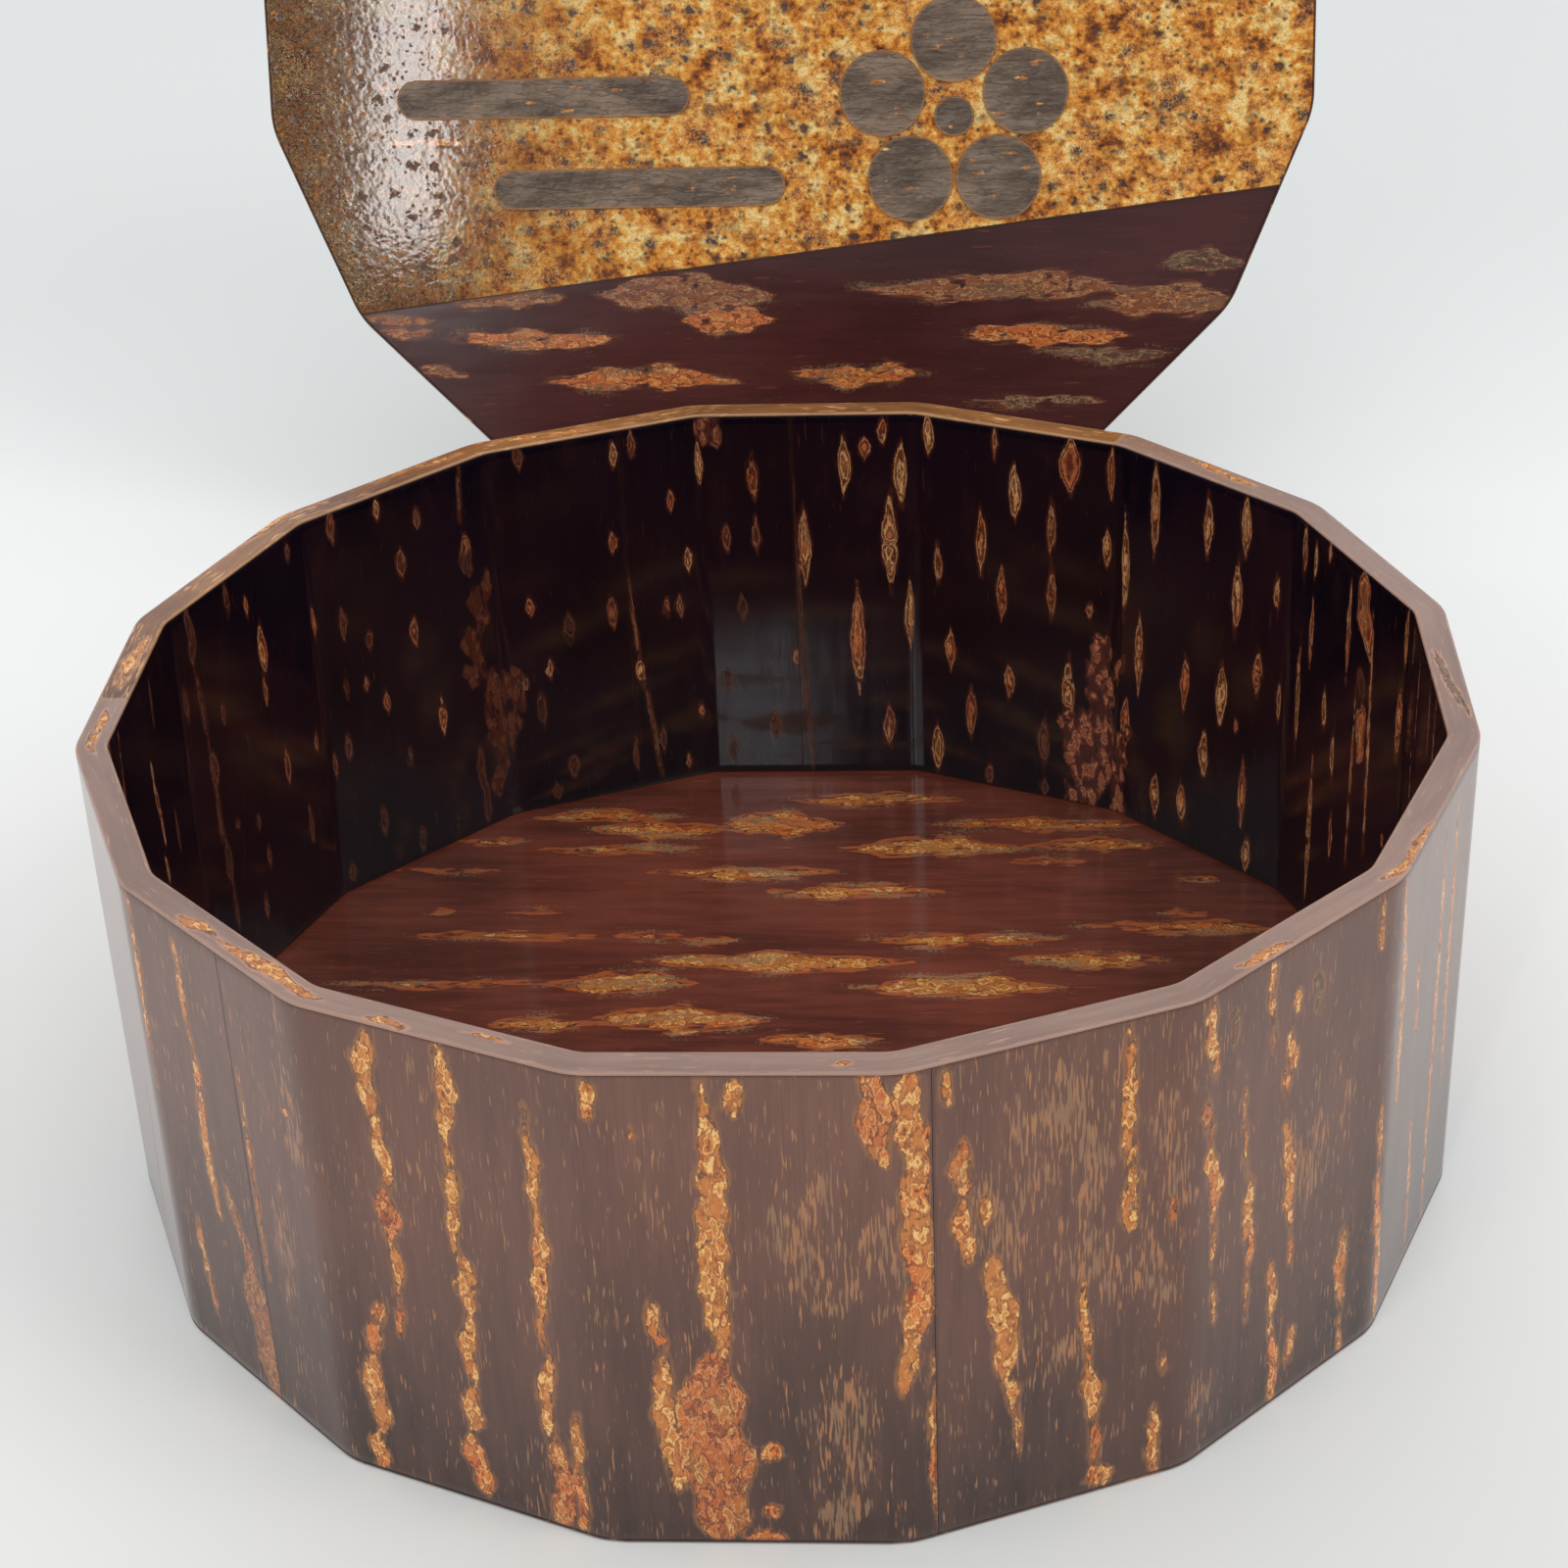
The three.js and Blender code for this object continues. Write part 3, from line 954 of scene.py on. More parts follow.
def gold_material(name):
    """Mottled golden bark: cream, gold and amber with dark round pores, brown patches and fine creases."""
    shader = Material(name)
    broad = shader.noise(0.12, 0.10)
    close = shader.noise(0.42, 0.34, detail=5.0, roughness=0.70)
    mottle = broad * 0.75 + close * 0.95 - 0.35
    shader.colour = shader.ramp(mottle, GOLD_TONES)

    # Large, rare pores, then small, common ones: how close, how wide, how rare and how dark
    warp = shader.warp(0.6, 0.5, 0.9)
    crowd = shader.noise(0.05, 0.035)
    dark = 0.0
    for close_by, reach, rareness, strength in ((0.22, 0.30, 0.84, 0.95), (0.55, 0.26, 0.72, 0.85)):
        pore, own = shader.cells(close_by, close_by * 0.9, warp)
        present = (own + crowd * 0.6).step(rareness - 0.04, rareness + 0.04)
        shader.lay(pore.step(reach * 2.1, reach * 0.9) * present * 0.5, (112, 62, 34))
        hole = pore.step(reach, reach * 0.6) * present
        shader.lay(hole * strength, (58, 32, 24))
        dark = shader.math("MAXIMUM", dark, hole)
    smudge = shader.noise(0.10, 0.08, detail=5.0, roughness=0.7).step(0.56, 0.66)
    shader.lay(smudge * 0.7, (92, 50, 34))

    # The left of the field is browner
    left = shader.split(shader.place)[1].step(-30.0, -120.0)
    flakes = shader.noise(0.9, 0.8, detail=3.0, roughness=0.6)
    browned = (close * 0.5 + flakes * 0.5 + left * 0.13).step(0.53, 0.60)
    shader.lay(left * 0.40, (134, 72, 26))
    shader.lay(left * browned * 0.85, (56, 25, 12))

    # Crests, creases and crinkles of its flakes
    pale_part = shader.noise(0.08, 0.07, detail=3.0).step(0.48, 0.58)
    crested = flakes.line(0.5, 0.020, 0.004) * shader.math("MAXIMUM", pale_part, left * 0.5)
    shader.lay(crested * 0.6, (255, 228, 166))
    shader.lay(flakes.line(0.42, 0.016, 0.004) * 0.6, (96, 52, 30))
    crinkles = shader.noise(0.42, 0.36, detail=3.0, roughness=0.6)
    shader.lay(crinkles.line(0.5, 0.016, 0.003) * 0.5, (120, 64, 30))

    edge = shader.outside + (mottle - 0.5) * 2.5
    inner, _ = knot_fill(shader, edge * -1.0)
    shader.lay(edge.step(0.15, -0.15), inner)
    rough = 0.05 + mottle * 0.04 + dark * 0.30
    relief = shader.noise(0.50, 0.42, detail=1.5)
    return shader.finish(rough, relief * 0.022 + dark * -0.02)


def grey_material(name):
    """Matt, wrinkled grey-brown bark with a few golden flecks and a paler cut edge."""
    shader = Material(name)
    cloud = shader.noise(0.12, 0.05, detail=4.0, roughness=0.6)
    fibres = shader.noise(1.8, 0.12, detail=3.0, roughness=0.6)
    shader.colour = shader.blend(cloud.step(0.35, 0.65), (92, 74, 60), (138, 116, 97))
    shader.lay(fibres.step(0.5, 0.68) * 0.4, (78, 62, 50))
    edge = shader.outside + (fibres - 0.5) * 1.6
    inner, _ = knot_fill(shader, edge * -1.0)
    shader.lay(edge.step(0.2, -0.2), inner)
    creases = shader.noise(0.34, 0.06, detail=3.0, roughness=0.6)
    fold = creases.line(0.5, 0.02, 0.0)
    shader.lay(fold * 0.55, (64, 48, 38))
    cut = (shader.margin() + cloud * -0.5).step(0.25, -0.2)
    shader.lay(cut * 0.8, (158, 112, 72))
    waves = shader.noise(0.11, 0.09, detail=3.0, roughness=0.6)
    height = waves * 2.6 + (creases * 0.9 + fibres * 0.08) + fold * -0.12
    return shader.finish(0.30 + cloud * 0.2, height)


def wood_material(name):
    """Plain pale wood for the core, its grain upright."""
    shader = Material(name, on_bark=False)
    lines = shader.noise(420.0, 420.0, detail=3.0, deep=18.0)
    broad = shader.noise(22.0, 22.0, deep=22.0)
    shader.colour = shader.blend(lines.step(0.35, 0.65), (150, 108, 72), (186, 144, 100))
    shader.lay(broad * 0.4, (128, 88, 58))
    return shader.finish(0.5 + lines * 0.15, lines * 0.04)


BARKS = {
    "dark_bark": dict(
        # foot: painted shade, the outer walls darker towards their foot
        ground=((42, 25, 21), (122, 80, 66)), foot=0.65, hair=((62, 37, 30), 0.3),
        fleck=((156, 116, 84), (184, 124, 80), (136, 90, 62), 0.72, 0.10),
        halo=((150, 98, 58), 1.1), wear=((70, 42, 34), 0.5), ragged=0.8, shine=0.12,
    ),
    "inside_bark": dict(
        ground=((12, 9, 19), (24, 14, 27)), hair=((10, 7, 10), 0.5), cloud=((56, 28, 26), 0.3),
        fleck=((70, 52, 42), (92, 56, 38), (66, 30, 24), 0.4, 0.0),
        halo=((84, 40, 26), 0.8), wear=((52, 30, 24), 0.4), ragged=0.5, shine=0.08,
        ringed=0.95, fill=(0.95, 0.42), rim=((150, 100, 66), 0.0),
    ),
    "floor_bark": dict(
        ground=((90, 44, 35), (132, 68, 52)), hair=((78, 37, 29), 0.3),
        fleck=((140, 76, 50), (156, 86, 54), (160, 78, 46), 0.5, 0.06),
        halo=((184, 98, 54), 0.3), wear=((60, 30, 24), 0.5), ragged=1.5, shine=0.09,
        grey=((148, 122, 92), 3.0), fill=(0.84, 0.7), rim=((50, 24, 18), 0.9), sunk=1.1,
        stretch=0.5, cell_stretch=1.15,
    ),
    "mauve_rim_bark": dict(
        ground=((129, 99, 88), (155, 123, 110)), hair=((116, 84, 74), 0.3),
        fleck=((190, 152, 128), (206, 164, 132), (190, 142, 120), 0.6, 0.05),
        halo=((196, 140, 112), 0.8), wear=((184, 144, 126), 0.5), ragged=0.7, shine=0.24, ringed=0.1,
    ),
    "golden_rim_bark": dict(
        ground=((92, 54, 32), (156, 102, 56)), hair=((80, 46, 32), 0.5),
        fleck=((226, 176, 124), (206, 142, 92), (170, 104, 66), 0.8, 0.17),
        halo=((206, 138, 88), 1.4), wear=((206, 158, 112), 0.5), ragged=1.2, shine=0.22,
    ),
    "red_bark": dict(
        ground=((58, 26, 27), (78, 38, 37)), hair=((46, 21, 23), 0.4),
        fleck=((104, 64, 48), (116, 70, 50), (104, 50, 38), 0.5, 0.0),
        halo=((98, 54, 38), 0.5), wear=((44, 24, 22), 0.5), ragged=1.6, shine=0.12,
        grey=((104, 84, 62), 2.6), fill=(0.8, 0.75), rim=((170, 104, 58), 0.45), sunk=0.5,
        stretch=0.45, cell_stretch=0.8,
    ),
}
OTHERS = {"gold_bark": gold_material, "grey_bark": grey_material, "bare_wood": wood_material}
MATERIALS = {name: bark_material(name, **looks) for name, looks in BARKS.items()}
MATERIALS.update({name: make(name) for name, make in OTHERS.items()})

# The wooden core keeps the part's own shapes
WOOD = ("box_stave", "lid_stave", "floor_board", "lid_board")
for node_name, node_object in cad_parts.items():
    if node_name.startswith(WOOD):
        node_object.data.materials.clear()
        node_object.data.materials.append(MATERIALS["bare_wood"])


# Markings read off the photograph

# Chains of knots on the outer wall: upper pixel, lower pixel, width in millimetres, swellings, tone
OUTER_CHAINS = (
    (716, 1120, 738, 1390, 5.2, 7, 0.25), (712, 1090, 718, 1125, 1.4, 0, 0.3),
    (722, 1380, 737, 1575, 13.0, 3, 0.62), (776, 1480, 800, 1484, 4.2, 0, 0.5),
    (784, 1535, 794, 1548, 3.2, 0, 0.5), (760, 1570, 805, 1570, 3.5, 0, 0.5),
    (746, 1098, 750, 1140, 3.4, 1, 0.05), (660, 1325, 676, 1378, 2.6, 1, 0.5),
    (673, 1380, 691, 1525, 3.8, 4, 0.15), (926, 1086, 935, 1222, 5.4, 3, 0.3),
    (935, 1180, 941, 1370, 6.6, 3, 0.4), (928, 1345, 925, 1428, 3.2, 2, 0.15),
    (882, 1086, 903, 1192, 5.6, 2, 0.6), (963, 1088, 968, 1130, 2.2, 1, 0.05),
    (979, 1164, 984, 1222, 3.8, 2, 0.6), (980, 1222, 988, 1292, 3.4, 2, 0.2),
    (1007, 1216, 1005, 1255, 2.2, 1, 0.1), (1014, 1278, 1030, 1412, 5.2, 3, 0.15),
    (1029, 1405, 1037, 1440, 2.6, 1, 0.4), (1038, 1445, 1041, 1484, 1.4, 0, 0.0),
    (1151, 1044, 1156, 1236, 2.6, 6, 0.2), (1153, 1205, 1152, 1260, 3.0, 1, 0.4),
    (1105, 1303, 1111, 1398, 1.8, 3, 0.2), (1113, 1392, 1115, 1450, 3.6, 1, 0.3),
    (1117, 1448, 1116, 1500, 2.0, 1, 0.6), (1106, 1512, 1136, 1500, 5.0, 0, 0.4),
    (952, 1378, 960, 1566, 2.3, 6, 0.25), (1176, 1432, 1177, 1512, 2.4, 3, 0.2),
    (370, 1046, 374, 1135, 4.2, 2, 0.1), (380, 1130, 396, 1212, 3.2, 3, 0.15),
    (393, 1210, 398, 1270, 4.0, 1, 0.6), (403, 1268, 408, 1328, 2.3, 1, 0.05),
    (408, 1332, 409, 1366, 1.6, 0, 0.4), (387, 1328, 389, 1350, 3.0, 0, 0.5),
    (380, 1348, 383, 1380, 3.4, 0, 0.4), (379, 1378, 391, 1462, 4.6, 2, 0.15),
    (387, 1460, 389, 1502, 3.4, 1, 0.4), (448, 1062, 456, 1165, 3.8, 3, 0.15),
    (455, 1160, 466, 1283, 2.6, 3, 0.1), (470, 1280, 482, 1340, 4.4, 2, 0.3),
    (477, 1338, 481, 1410, 3.2, 2, 0.25), (481, 1410, 484, 1460, 3.8, 1, 0.35),
    (480, 1462, 498, 1528, 4.6, 2, 0.45), (534, 1125, 536, 1150, 1.2, 0, 1.0),
    (536, 1148, 548, 1238, 2.8, 3, 0.1), (547, 1232, 555, 1348, 3.2, 3, 0.3),
    (548, 1343, 556, 1380, 1.6, 0, 0.0), (560, 1378, 557, 1468, 3.2, 2, 0.1),
    (588, 1440, 590, 1500, 2.0, 1, 0.2), (590, 1490, 596, 1572, 2.4, 2, 0.5),
    (570, 1470, 578, 1572, 4.5, 2, 0.6), (594, 1098, 601, 1145, 2.6, 1, 0.15),
    (174, 955, 196, 1070, 1.8, 2, 0.05), (194, 1060, 224, 1245, 2.8, 5, 0.2),
    (200, 1238, 222, 1342, 1.8, 3, 0.3), (228, 1200, 262, 1312, 2.6, 2, 0.7),
    (256, 1296, 288, 1436, 9.0, 2, 0.72), (241, 1087, 275, 1306, 1.2, 3, 0.5),
    (290, 1129, 292, 1142, 2.4, 0, 0.55), (146, 1085, 172, 1262, 1.0, 4, 0.9),
    (127, 906, 160, 1110, 1.6, 3, 0.4), (1237, 1016, 1240, 1102, 2.8, 3, 0.15),
    (1232, 1120, 1235, 1165, 2.6, 2, 0.65), (1236, 1168, 1241, 1236, 3.6, 2, 0.35),
    (1239, 1232, 1238, 1292, 1.6, 2, 0.05), (1237, 1308, 1239, 1352, 1.3, 0, 0.0),
    (1300, 980, 1298, 1034, 2.4, 1, 0.15), (1299, 1032, 1301, 1076, 1.2, 0, 0.7),
    (1325, 1008, 1325, 1036, 2.2, 0, 0.2), (1318, 1050, 1320, 1096, 2.6, 1, 0.2),
    (1312, 1092, 1313, 1120, 1.6, 1, 0.5), (1313, 1142, 1318, 1250, 3.2, 3, 0.3),
    (1316, 1256, 1317, 1292, 1.3, 0, 0.5), (1270, 1110, 1272, 1204, 1.1, 0, 0.1),
    (1276, 1200, 1273, 1296, 2.9, 3, 0.25), (1272, 1296, 1271, 1352, 1.2, 0, 0.6),
    (1298, 1284, 1297, 1350, 2.6, 2, 0.25), (1297, 1348, 1298, 1436, 2.7, 3, 0.4),
    (1317, 1350, 1315, 1390, 2.8, 1, 0.3), (1369, 1250, 1367, 1336, 2.9, 2, 0.2),
    (1367, 1340, 1365, 1386, 1.3, 0, 0.05), (1411, 1128, 1408, 1190, 1.6, 1, 0.1),
    (1408, 1188, 1402, 1352, 2.9, 4, 0.35), (1437, 892, 1425, 1135, 2.9, 6, 0.15),
    (1478, 834, 1449, 1252, 2.3, 7, 0.45), (1489, 808, 1470, 1106, 2.2, 6, 0.4),
    (1413, 910, 1410, 970, 1.5, 1, 0.3), (1449, 965, 1444, 1066, 1.8, 2, 0.5),
    (1441, 1130, 1433, 1272, 2.0, 3, 0.3), (1347, 990, 1345, 1032, 2.0, 1, 0.9),
    (1260, 1030, 1262, 1066, 2.0, 1, 0.8), (1197, 1218, 1197, 1250, 1.4, 0, 0.6),
    (643, 1150, 643, 1166, 1.4, 0, 0.5), (1187, 1380, 1187, 1403, 1.1, 0, 0.2),
)

# Fields of fine dashes on the outer wall: upper left pixel, lower right pixel, strength
OUTER_FLECKS = (
    (783, 1200, 893, 1347, 1.0), (820, 1393, 893, 1573, 1.0), (1000, 1100, 1133, 1267, 1.0),
    (1080, 1067, 1140, 1200, 1.0), (1017, 1247, 1090, 1377, 0.75), (1100, 1220, 1180, 1330, 0.75),
    (1067, 1353, 1107, 1393, 0.7), (1143, 1187, 1220, 1320, 0.7), (1313, 1117, 1380, 1200, 0.7),
    (1207, 1420, 1237, 1467, 0.7), (640, 1177, 717, 1277, 0.5), (660, 1393, 707, 1560, 0.5),
    (268, 1010, 315, 1215, 1.0), (272, 1195, 310, 1345, 0.7), (700, 1180, 760, 1330, 0.4),
    (860, 1230, 925, 1360, 0.8), (1150, 1060, 1230, 1180, 0.6), (420, 1150, 450, 1330, 0.4),
)

# Small almonds on the inner wall: middle pixel, length and width in millimetres, tone
INNER_ALMONDS = (
    (409, 574, 10, 2.6, 0.7), (316, 636, 10, 2.1, 0.6), (350, 637, 9.5, 2, 0.8), (377, 653, 6.5, 2, 0.8),
    (423, 644, 9.5, 2.4, 0.6), (353, 704, 5.5, 1.7, 0.8), (374, 698, 5.5, 1.6, 0.6),
    (395, 717, 8.5, 2, 0.6), (452, 730, 11.5, 2.3, 0.3), (323, 757, 7, 1.7, 0.7), (356, 763, 8, 1.9, 0.8),
    (341, 781, 8, 1.9, 0.7), (419, 773, 7, 1.7, 0.8), (294, 781, 12.5, 2.2, 0.6), (318, 840, 10, 1.9, 0.8),
    (392, 837, 9.5, 2.3, 0.9), (432, 856, 8.5, 2, 0.9), (360, 891, 6.5, 2.3, 0.9), (275, 874, 7, 1.6, 0.8),
    (273, 926, 9, 1.6, 0.8), (243, 841, 4, 1.4, 0.9), (264, 839, 5, 1.4, 0.9), (182, 849, 12, 1.7, 0.8),
    (228, 729, 6.5, 1.6, 0.8), (190, 720, 9.5, 1.8, 0.9), (251, 619, 6.5, 1.7, 0.5),
    (231, 613, 9.5, 1.6, 0.8), (293, 563, 6, 1.8, 0.8), (337, 537, 10, 2.2, 0.7), (384, 520, 7, 1.8, 0.5),
    (425, 530, 7, 2, 0.7), (528, 467, 8, 2.4, 0.8), (541, 620, 6.5, 2.3, 0.6), (581, 641, 9.5, 2.6, 0.9),
    (561, 683, 7, 2, 0.6), (536, 699, 5.5, 2, 0.7), (553, 724, 11, 2.4, 0.9), (625, 624, 11, 2.5, 0.7),
    (625, 553, 7, 2.4, 0.6), (625, 464, 8, 2.1, 0.3), (644, 453, 8, 2, 0.7), (653, 683, 7, 2.5, 0.05),
    (684, 511, 6.5, 2.1, 0.5), (702, 571, 8, 2.2, 0.3), (681, 621, 6.5, 2, 0.7), (694, 619, 7, 2, 0.7),
    (708, 473, 14, 3.4, 0.4), (651, 769, 10, 2.6, 0.8), (677, 753, 9, 1.7, 0.8), (586, 781, 8, 2.8, 0.9),
    (569, 807, 5, 2.8, 0.9), (716, 724, 5, 1.5, 0.5), (703, 776, 5, 1.6, 0.6), (741, 549, 9, 2.2, 0.7),
    (768, 487, 14, 2.4, 0.6), (771, 547, 11, 2, 0.7), (758, 620, 9, 2.2, 0.9), (821, 557, 24, 2.9, 0.3),
    (861, 475, 18, 3.2, 0.3), (882, 457, 7, 3, 0.55), (900, 440, 8, 2.3, 0.45), (919, 483, 20, 3.4, 0.15),
    (908, 553, 30, 4, 0.15), (947, 443, 13, 2.9, 0.2), (957, 575, 13, 2.2, 0.4), (1001, 553, 20, 2.7, 0.4),
    (930, 627, 22, 3.2, 0.25), (876, 653, 34, 3.7, 0.35), (970, 662, 13, 2.7, 0.5),
    (1022, 607, 17, 2.7, 0.45), (1035, 503, 17, 3.3, 0.1), (1015, 453, 10, 1.5, 0.4),
    (1073, 540, 18, 2.1, 0.6), (1092, 475, 17, 5.5, 0.55), (1135, 483, 17, 2.4, 0.5),
    (1130, 560, 12, 2.4, 0.4), (1148, 577, 31, 2.7, 0.2), (1179, 520, 30, 2.7, 0.3),
    (1233, 537, 18, 2.8, 0.3), (1073, 607, 16, 2.4, 0.6), (1112, 623, 6, 1.8, 0.5),
    (1162, 667, 25, 2.7, 0.35), (1090, 707, 23, 3.2, 0.3), (1030, 695, 12, 2.7, 0.5),
    (991, 727, 17, 2.7, 0.6), (1209, 697, 17, 2.7, 0.5), (1148, 737, 17, 2.9, 0.35),
    (1228, 770, 16, 2.9, 0.1), (1065, 757, 14, 3.2, 0.8), (1066, 803, 6, 2.2, 0.8),
    (957, 763, 16, 3.2, 0.35), (908, 740, 13, 3, 0.6), (792, 740, 9, 3, 0.9), (743, 693, 8, 2.5, 1),
    (749, 763, 8, 2.5, 1), (1010, 790, 8, 2.2, 0.7), (1178, 810, 15, 2.9, 0.35), (1205, 820, 15, 2.6, 0.4),
    (813, 670, 6, 1.8, 0), (717, 725, 4, 1.4, 0.6), (1272, 536, 19, 2.8, 0.3), (1262, 609, 23, 2.9, 0.2),
    (1246, 709, 20, 3.4, 0.3), (1283, 687, 14, 2.8, 0.55), (1303, 606, 13, 1.6, 0.55),
    (1305, 716, 11, 1.6, 0.2), (1324, 709, 35, 1.8, 0.35), (1332, 562, 17, 1.9, 0.4),
    (1343, 572, 11, 1.7, 0.4), (1358, 562, 8, 1.6, 0.4), (1338, 647, 19, 1.8, 0.4),
    (1351, 725, 13, 1.9, 0.4), (1359, 772, 16, 1.6, 0.4), (1357, 853, 14, 1.5, 0.5),
    (1335, 848, 44, 2, 0.25), (1267, 809, 20, 2.3, 0.5), (1271, 872, 12, 2.8, 0.2),
    (1261, 741, 5, 1.4, 0.5), (1376, 644, 26, 1.8, 0.45), (1436, 650, 16, 1.7, 0.5),
    (1427, 737, 22, 2.5, 0.4), (1410, 858, 3.5, 2, 0.5), (268, 663, 15, 3.4, 0.5), (271, 706, 9, 1.6, 0.6),
    (219, 786, 12, 2.8, 0.8), (234, 880, 14, 2.4, 0.9), (475, 560, 9.5, 3, 0.7),
)

# Lines and cracks on the inner wall, as the outer wall's chains
INNER_CHAINS = (
    (633, 553, 653, 673, 1.1, 0, 0.7), (654, 673, 677, 796, 1.0, 0, 0.8), (802, 430, 830, 790, 0.9, 3, 0.9),
    (467, 473, 469, 536, 1.0, 0, 0.8), (475, 560, 477, 590, 3.4, 1, 0.9), (489, 760, 500, 840, 2.4, 1, 1.0),
    (190, 620, 198, 675, 2.6, 1, 0.9), (198, 675, 214, 765, 1.0, 0, 0.9), (221, 805, 228, 860, 1.4, 0, 0.9),
    (238, 905, 245, 950, 1.0, 0, 0.9), (151, 690, 158, 745, 1.0, 0, 0.9), (153, 775, 170, 865, 1.8, 2, 0.3),
    (168, 870, 175, 905, 1.4, 0, 0.3), (120, 745, 130, 830, 1.0, 0, 0.7),
    (1391, 582, 1396, 672, 6.0, 2, 0.5), (1391, 720, 1385, 780, 4.0, 1, 0.5),
    (1388, 680, 1390, 715, 3.0, 0, 0.9), (1384, 700, 1372, 888, 1.0, 0, 0.5),
    (1402, 622, 1390, 888, 1.0, 0, 0.5), (1450, 665, 1443, 760, 1.0, 0, 0.5),
    (1461, 680, 1455, 780, 1.0, 0, 0.5), (1467, 700, 1460, 790, 1.0, 0, 0.5),
    (1440, 760, 1437, 830, 1.0, 0, 0.5),
)

# Scarred patches on the inner wall: upper left pixel, lower right pixel, how many short knots, tone
INNER_SCARS = (
    (1112, 655, 1142, 745, 20, 1.6), (1084, 735, 1150, 826, 44, 1.6), (478, 590, 496, 690, 10, 1.2),
    (500, 690, 530, 760, 22, 1.2), (505, 765, 515, 805, 4, 1.2), (705, 425, 730, 450, 5, 1.4),
)

# Streaks on the floor: left and right end, height and thickness in the photograph, all pixels, then tone
FLOOR_STREAKS = (
    (799, 985, 816, 14, 0.1), (540, 699, 833, 12, 0.4), (730, 863, 841, 26, 0.5), (953, 1170, 841, 14, 0.5),
    (596, 748, 847, 18, 0.45), (468, 540, 859, 8, 0.3), (550, 720, 867, 10, 0.3), (852, 1048, 865, 22, 0.2),
    (1048, 1190, 862, 14, 0.4), (1027, 1112, 879, 8, 0.3), (399, 513, 888, 5, 0.4),
    (659, 863, 891, 14, 0.2), (778, 963, 910, 16, 0.15), (439, 465, 930, 6, 0.4), (513, 587, 931, 5, 0.4),
    (407, 624, 955, 9, 0.05), (624, 700, 955, 8, 0.5), (693, 752, 960, 10, 0.3), (868, 1091, 959, 14, 0.2),
    (1096, 1181, 944, 6, 0.4), (1139, 1308, 947, 16, 0.4), (1180, 1234, 931, 8, 0.7),
    (646, 937, 982, 22, 0.2), (1033, 1192, 980, 18, 0.15), (333, 556, 1004, 8, 0.1),
    (556, 715, 1003, 24, 0.2), (863, 1096, 1007, 24, 0.2), (492, 609, 1045, 16, 0.3),
    (598, 789, 1041, 28, 0.3), (773, 905, 1062, 18, 0.4), (1202, 1245, 897, 7, 0.5),
)

# Bands on the lid's dark red field, as the floor's streaks
LID_BANDS = (
    (867, 1183, 293, 30, 0.75), (1107, 1280, 307, 35, 0.75), (1183, 1277, 267, 25, 0.9),
    (973, 1157, 342, 26, 0.6), (1073, 1200, 362, 18, 0.9), (800, 950, 382, 24, 0.6),
    (983, 1133, 410, 14, 0.9), (447, 580, 303, 30, 0.75), (603, 793, 300, 40, 0.75),
    (360, 447, 327, 14, 0.7), (447, 640, 347, 22, 0.6), (387, 447, 340, 14, 0.7), (693, 793, 327, 30, 0.6),
    (547, 760, 387, 26, 0.6), (413, 480, 380, 14, 0.7),
)

# Pale cracks on the lid's golden field, as the floor's streaks
LID_CRACKS = (
    (381, 422, 89, 6, 0.0), (384, 478, 146, 5, 0.0), (1010, 1090, 60, 5, 0.0),
)

# Streaks on the rim: first pixel, second pixel, width in millimetres, tone
RIM_STREAKS = (
    (180, 933, 222, 956, 2.4, 0.0), (222, 956, 332, 1019, 2.8, 0.0), (372, 1037, 419, 1050, 1.8, 0.1),
    (1216, 470, 1283, 497, 2.2, 0.1), (1461, 662, 1499, 731, 1.6, 0.9), (1408, 900, 1470, 834, 2.2, 0.1),
    (1262, 988, 1320, 960, 2.2, 0.1), (852, 1086, 870, 1084, 1.2, 0.3), (470, 1052, 520, 1064, 1.1, 0.3),
    (232, 563, 330, 512, 2.4, 0.0), (120, 700, 150, 650, 2.2, 0.1), (96, 770, 110, 722, 1.8, 0.0),
    (350, 498, 470, 463, 1.8, 0.1), (500, 452, 610, 436, 1.6, 0.1),
)


def wall_chain(row, place_at):
    x0, y0, x1, y1, width, lumps, tone = row
    return Knot(place_at((x0, y0)), place_at((x1, y1)), width, lumps, tone, CHAIN_TAPER)


def upright_almond(across, along, length, width, tone):
    ends = (across, along + length / 2), (across, along - length / 2)
    return Knot(*ends, width, 0, tone, ALMOND_TAPER)


def plate_streak(row, place_at, taper):
    """A streak that lies along x, as (y, x) on its sheet."""
    x0, x1, y, thickness, tone = row
    left, right = place_at((x0, y)), place_at((x1, y))
    middle = (x0 + x1) / 2
    width = math.dist(place_at((middle, y - thickness / 2)), place_at((middle, y + thickness / 2)))
    return Knot(left[::-1], right[::-1], width, 3, tone, taper)


# Markings where the photograph shows none, drawn at random

SEED = 11
CHAIN_SPACING = 13

draw = random.Random(SEED)


def wall_scar(row):
    """Short, crooked knots close together on the inner wall."""
    x0, y0, x1, y1, count, tone = row
    knots = []
    for _ in range(count):
        across, along = on_inside((draw.uniform(x0, x1), draw.uniform(y0, y1)))
        length, lean = draw.uniform(4.0, 9.0), draw.uniform(-0.5, 0.5)
        rise, drift = length / 2, lean * length / 2
        ends = (across - drift, along + rise), (across + drift, along - rise)
        knots.append(Knot(*ends, draw.uniform(2.0, 4.5), 1, tone, ALMOND_TAPER))
    return knots


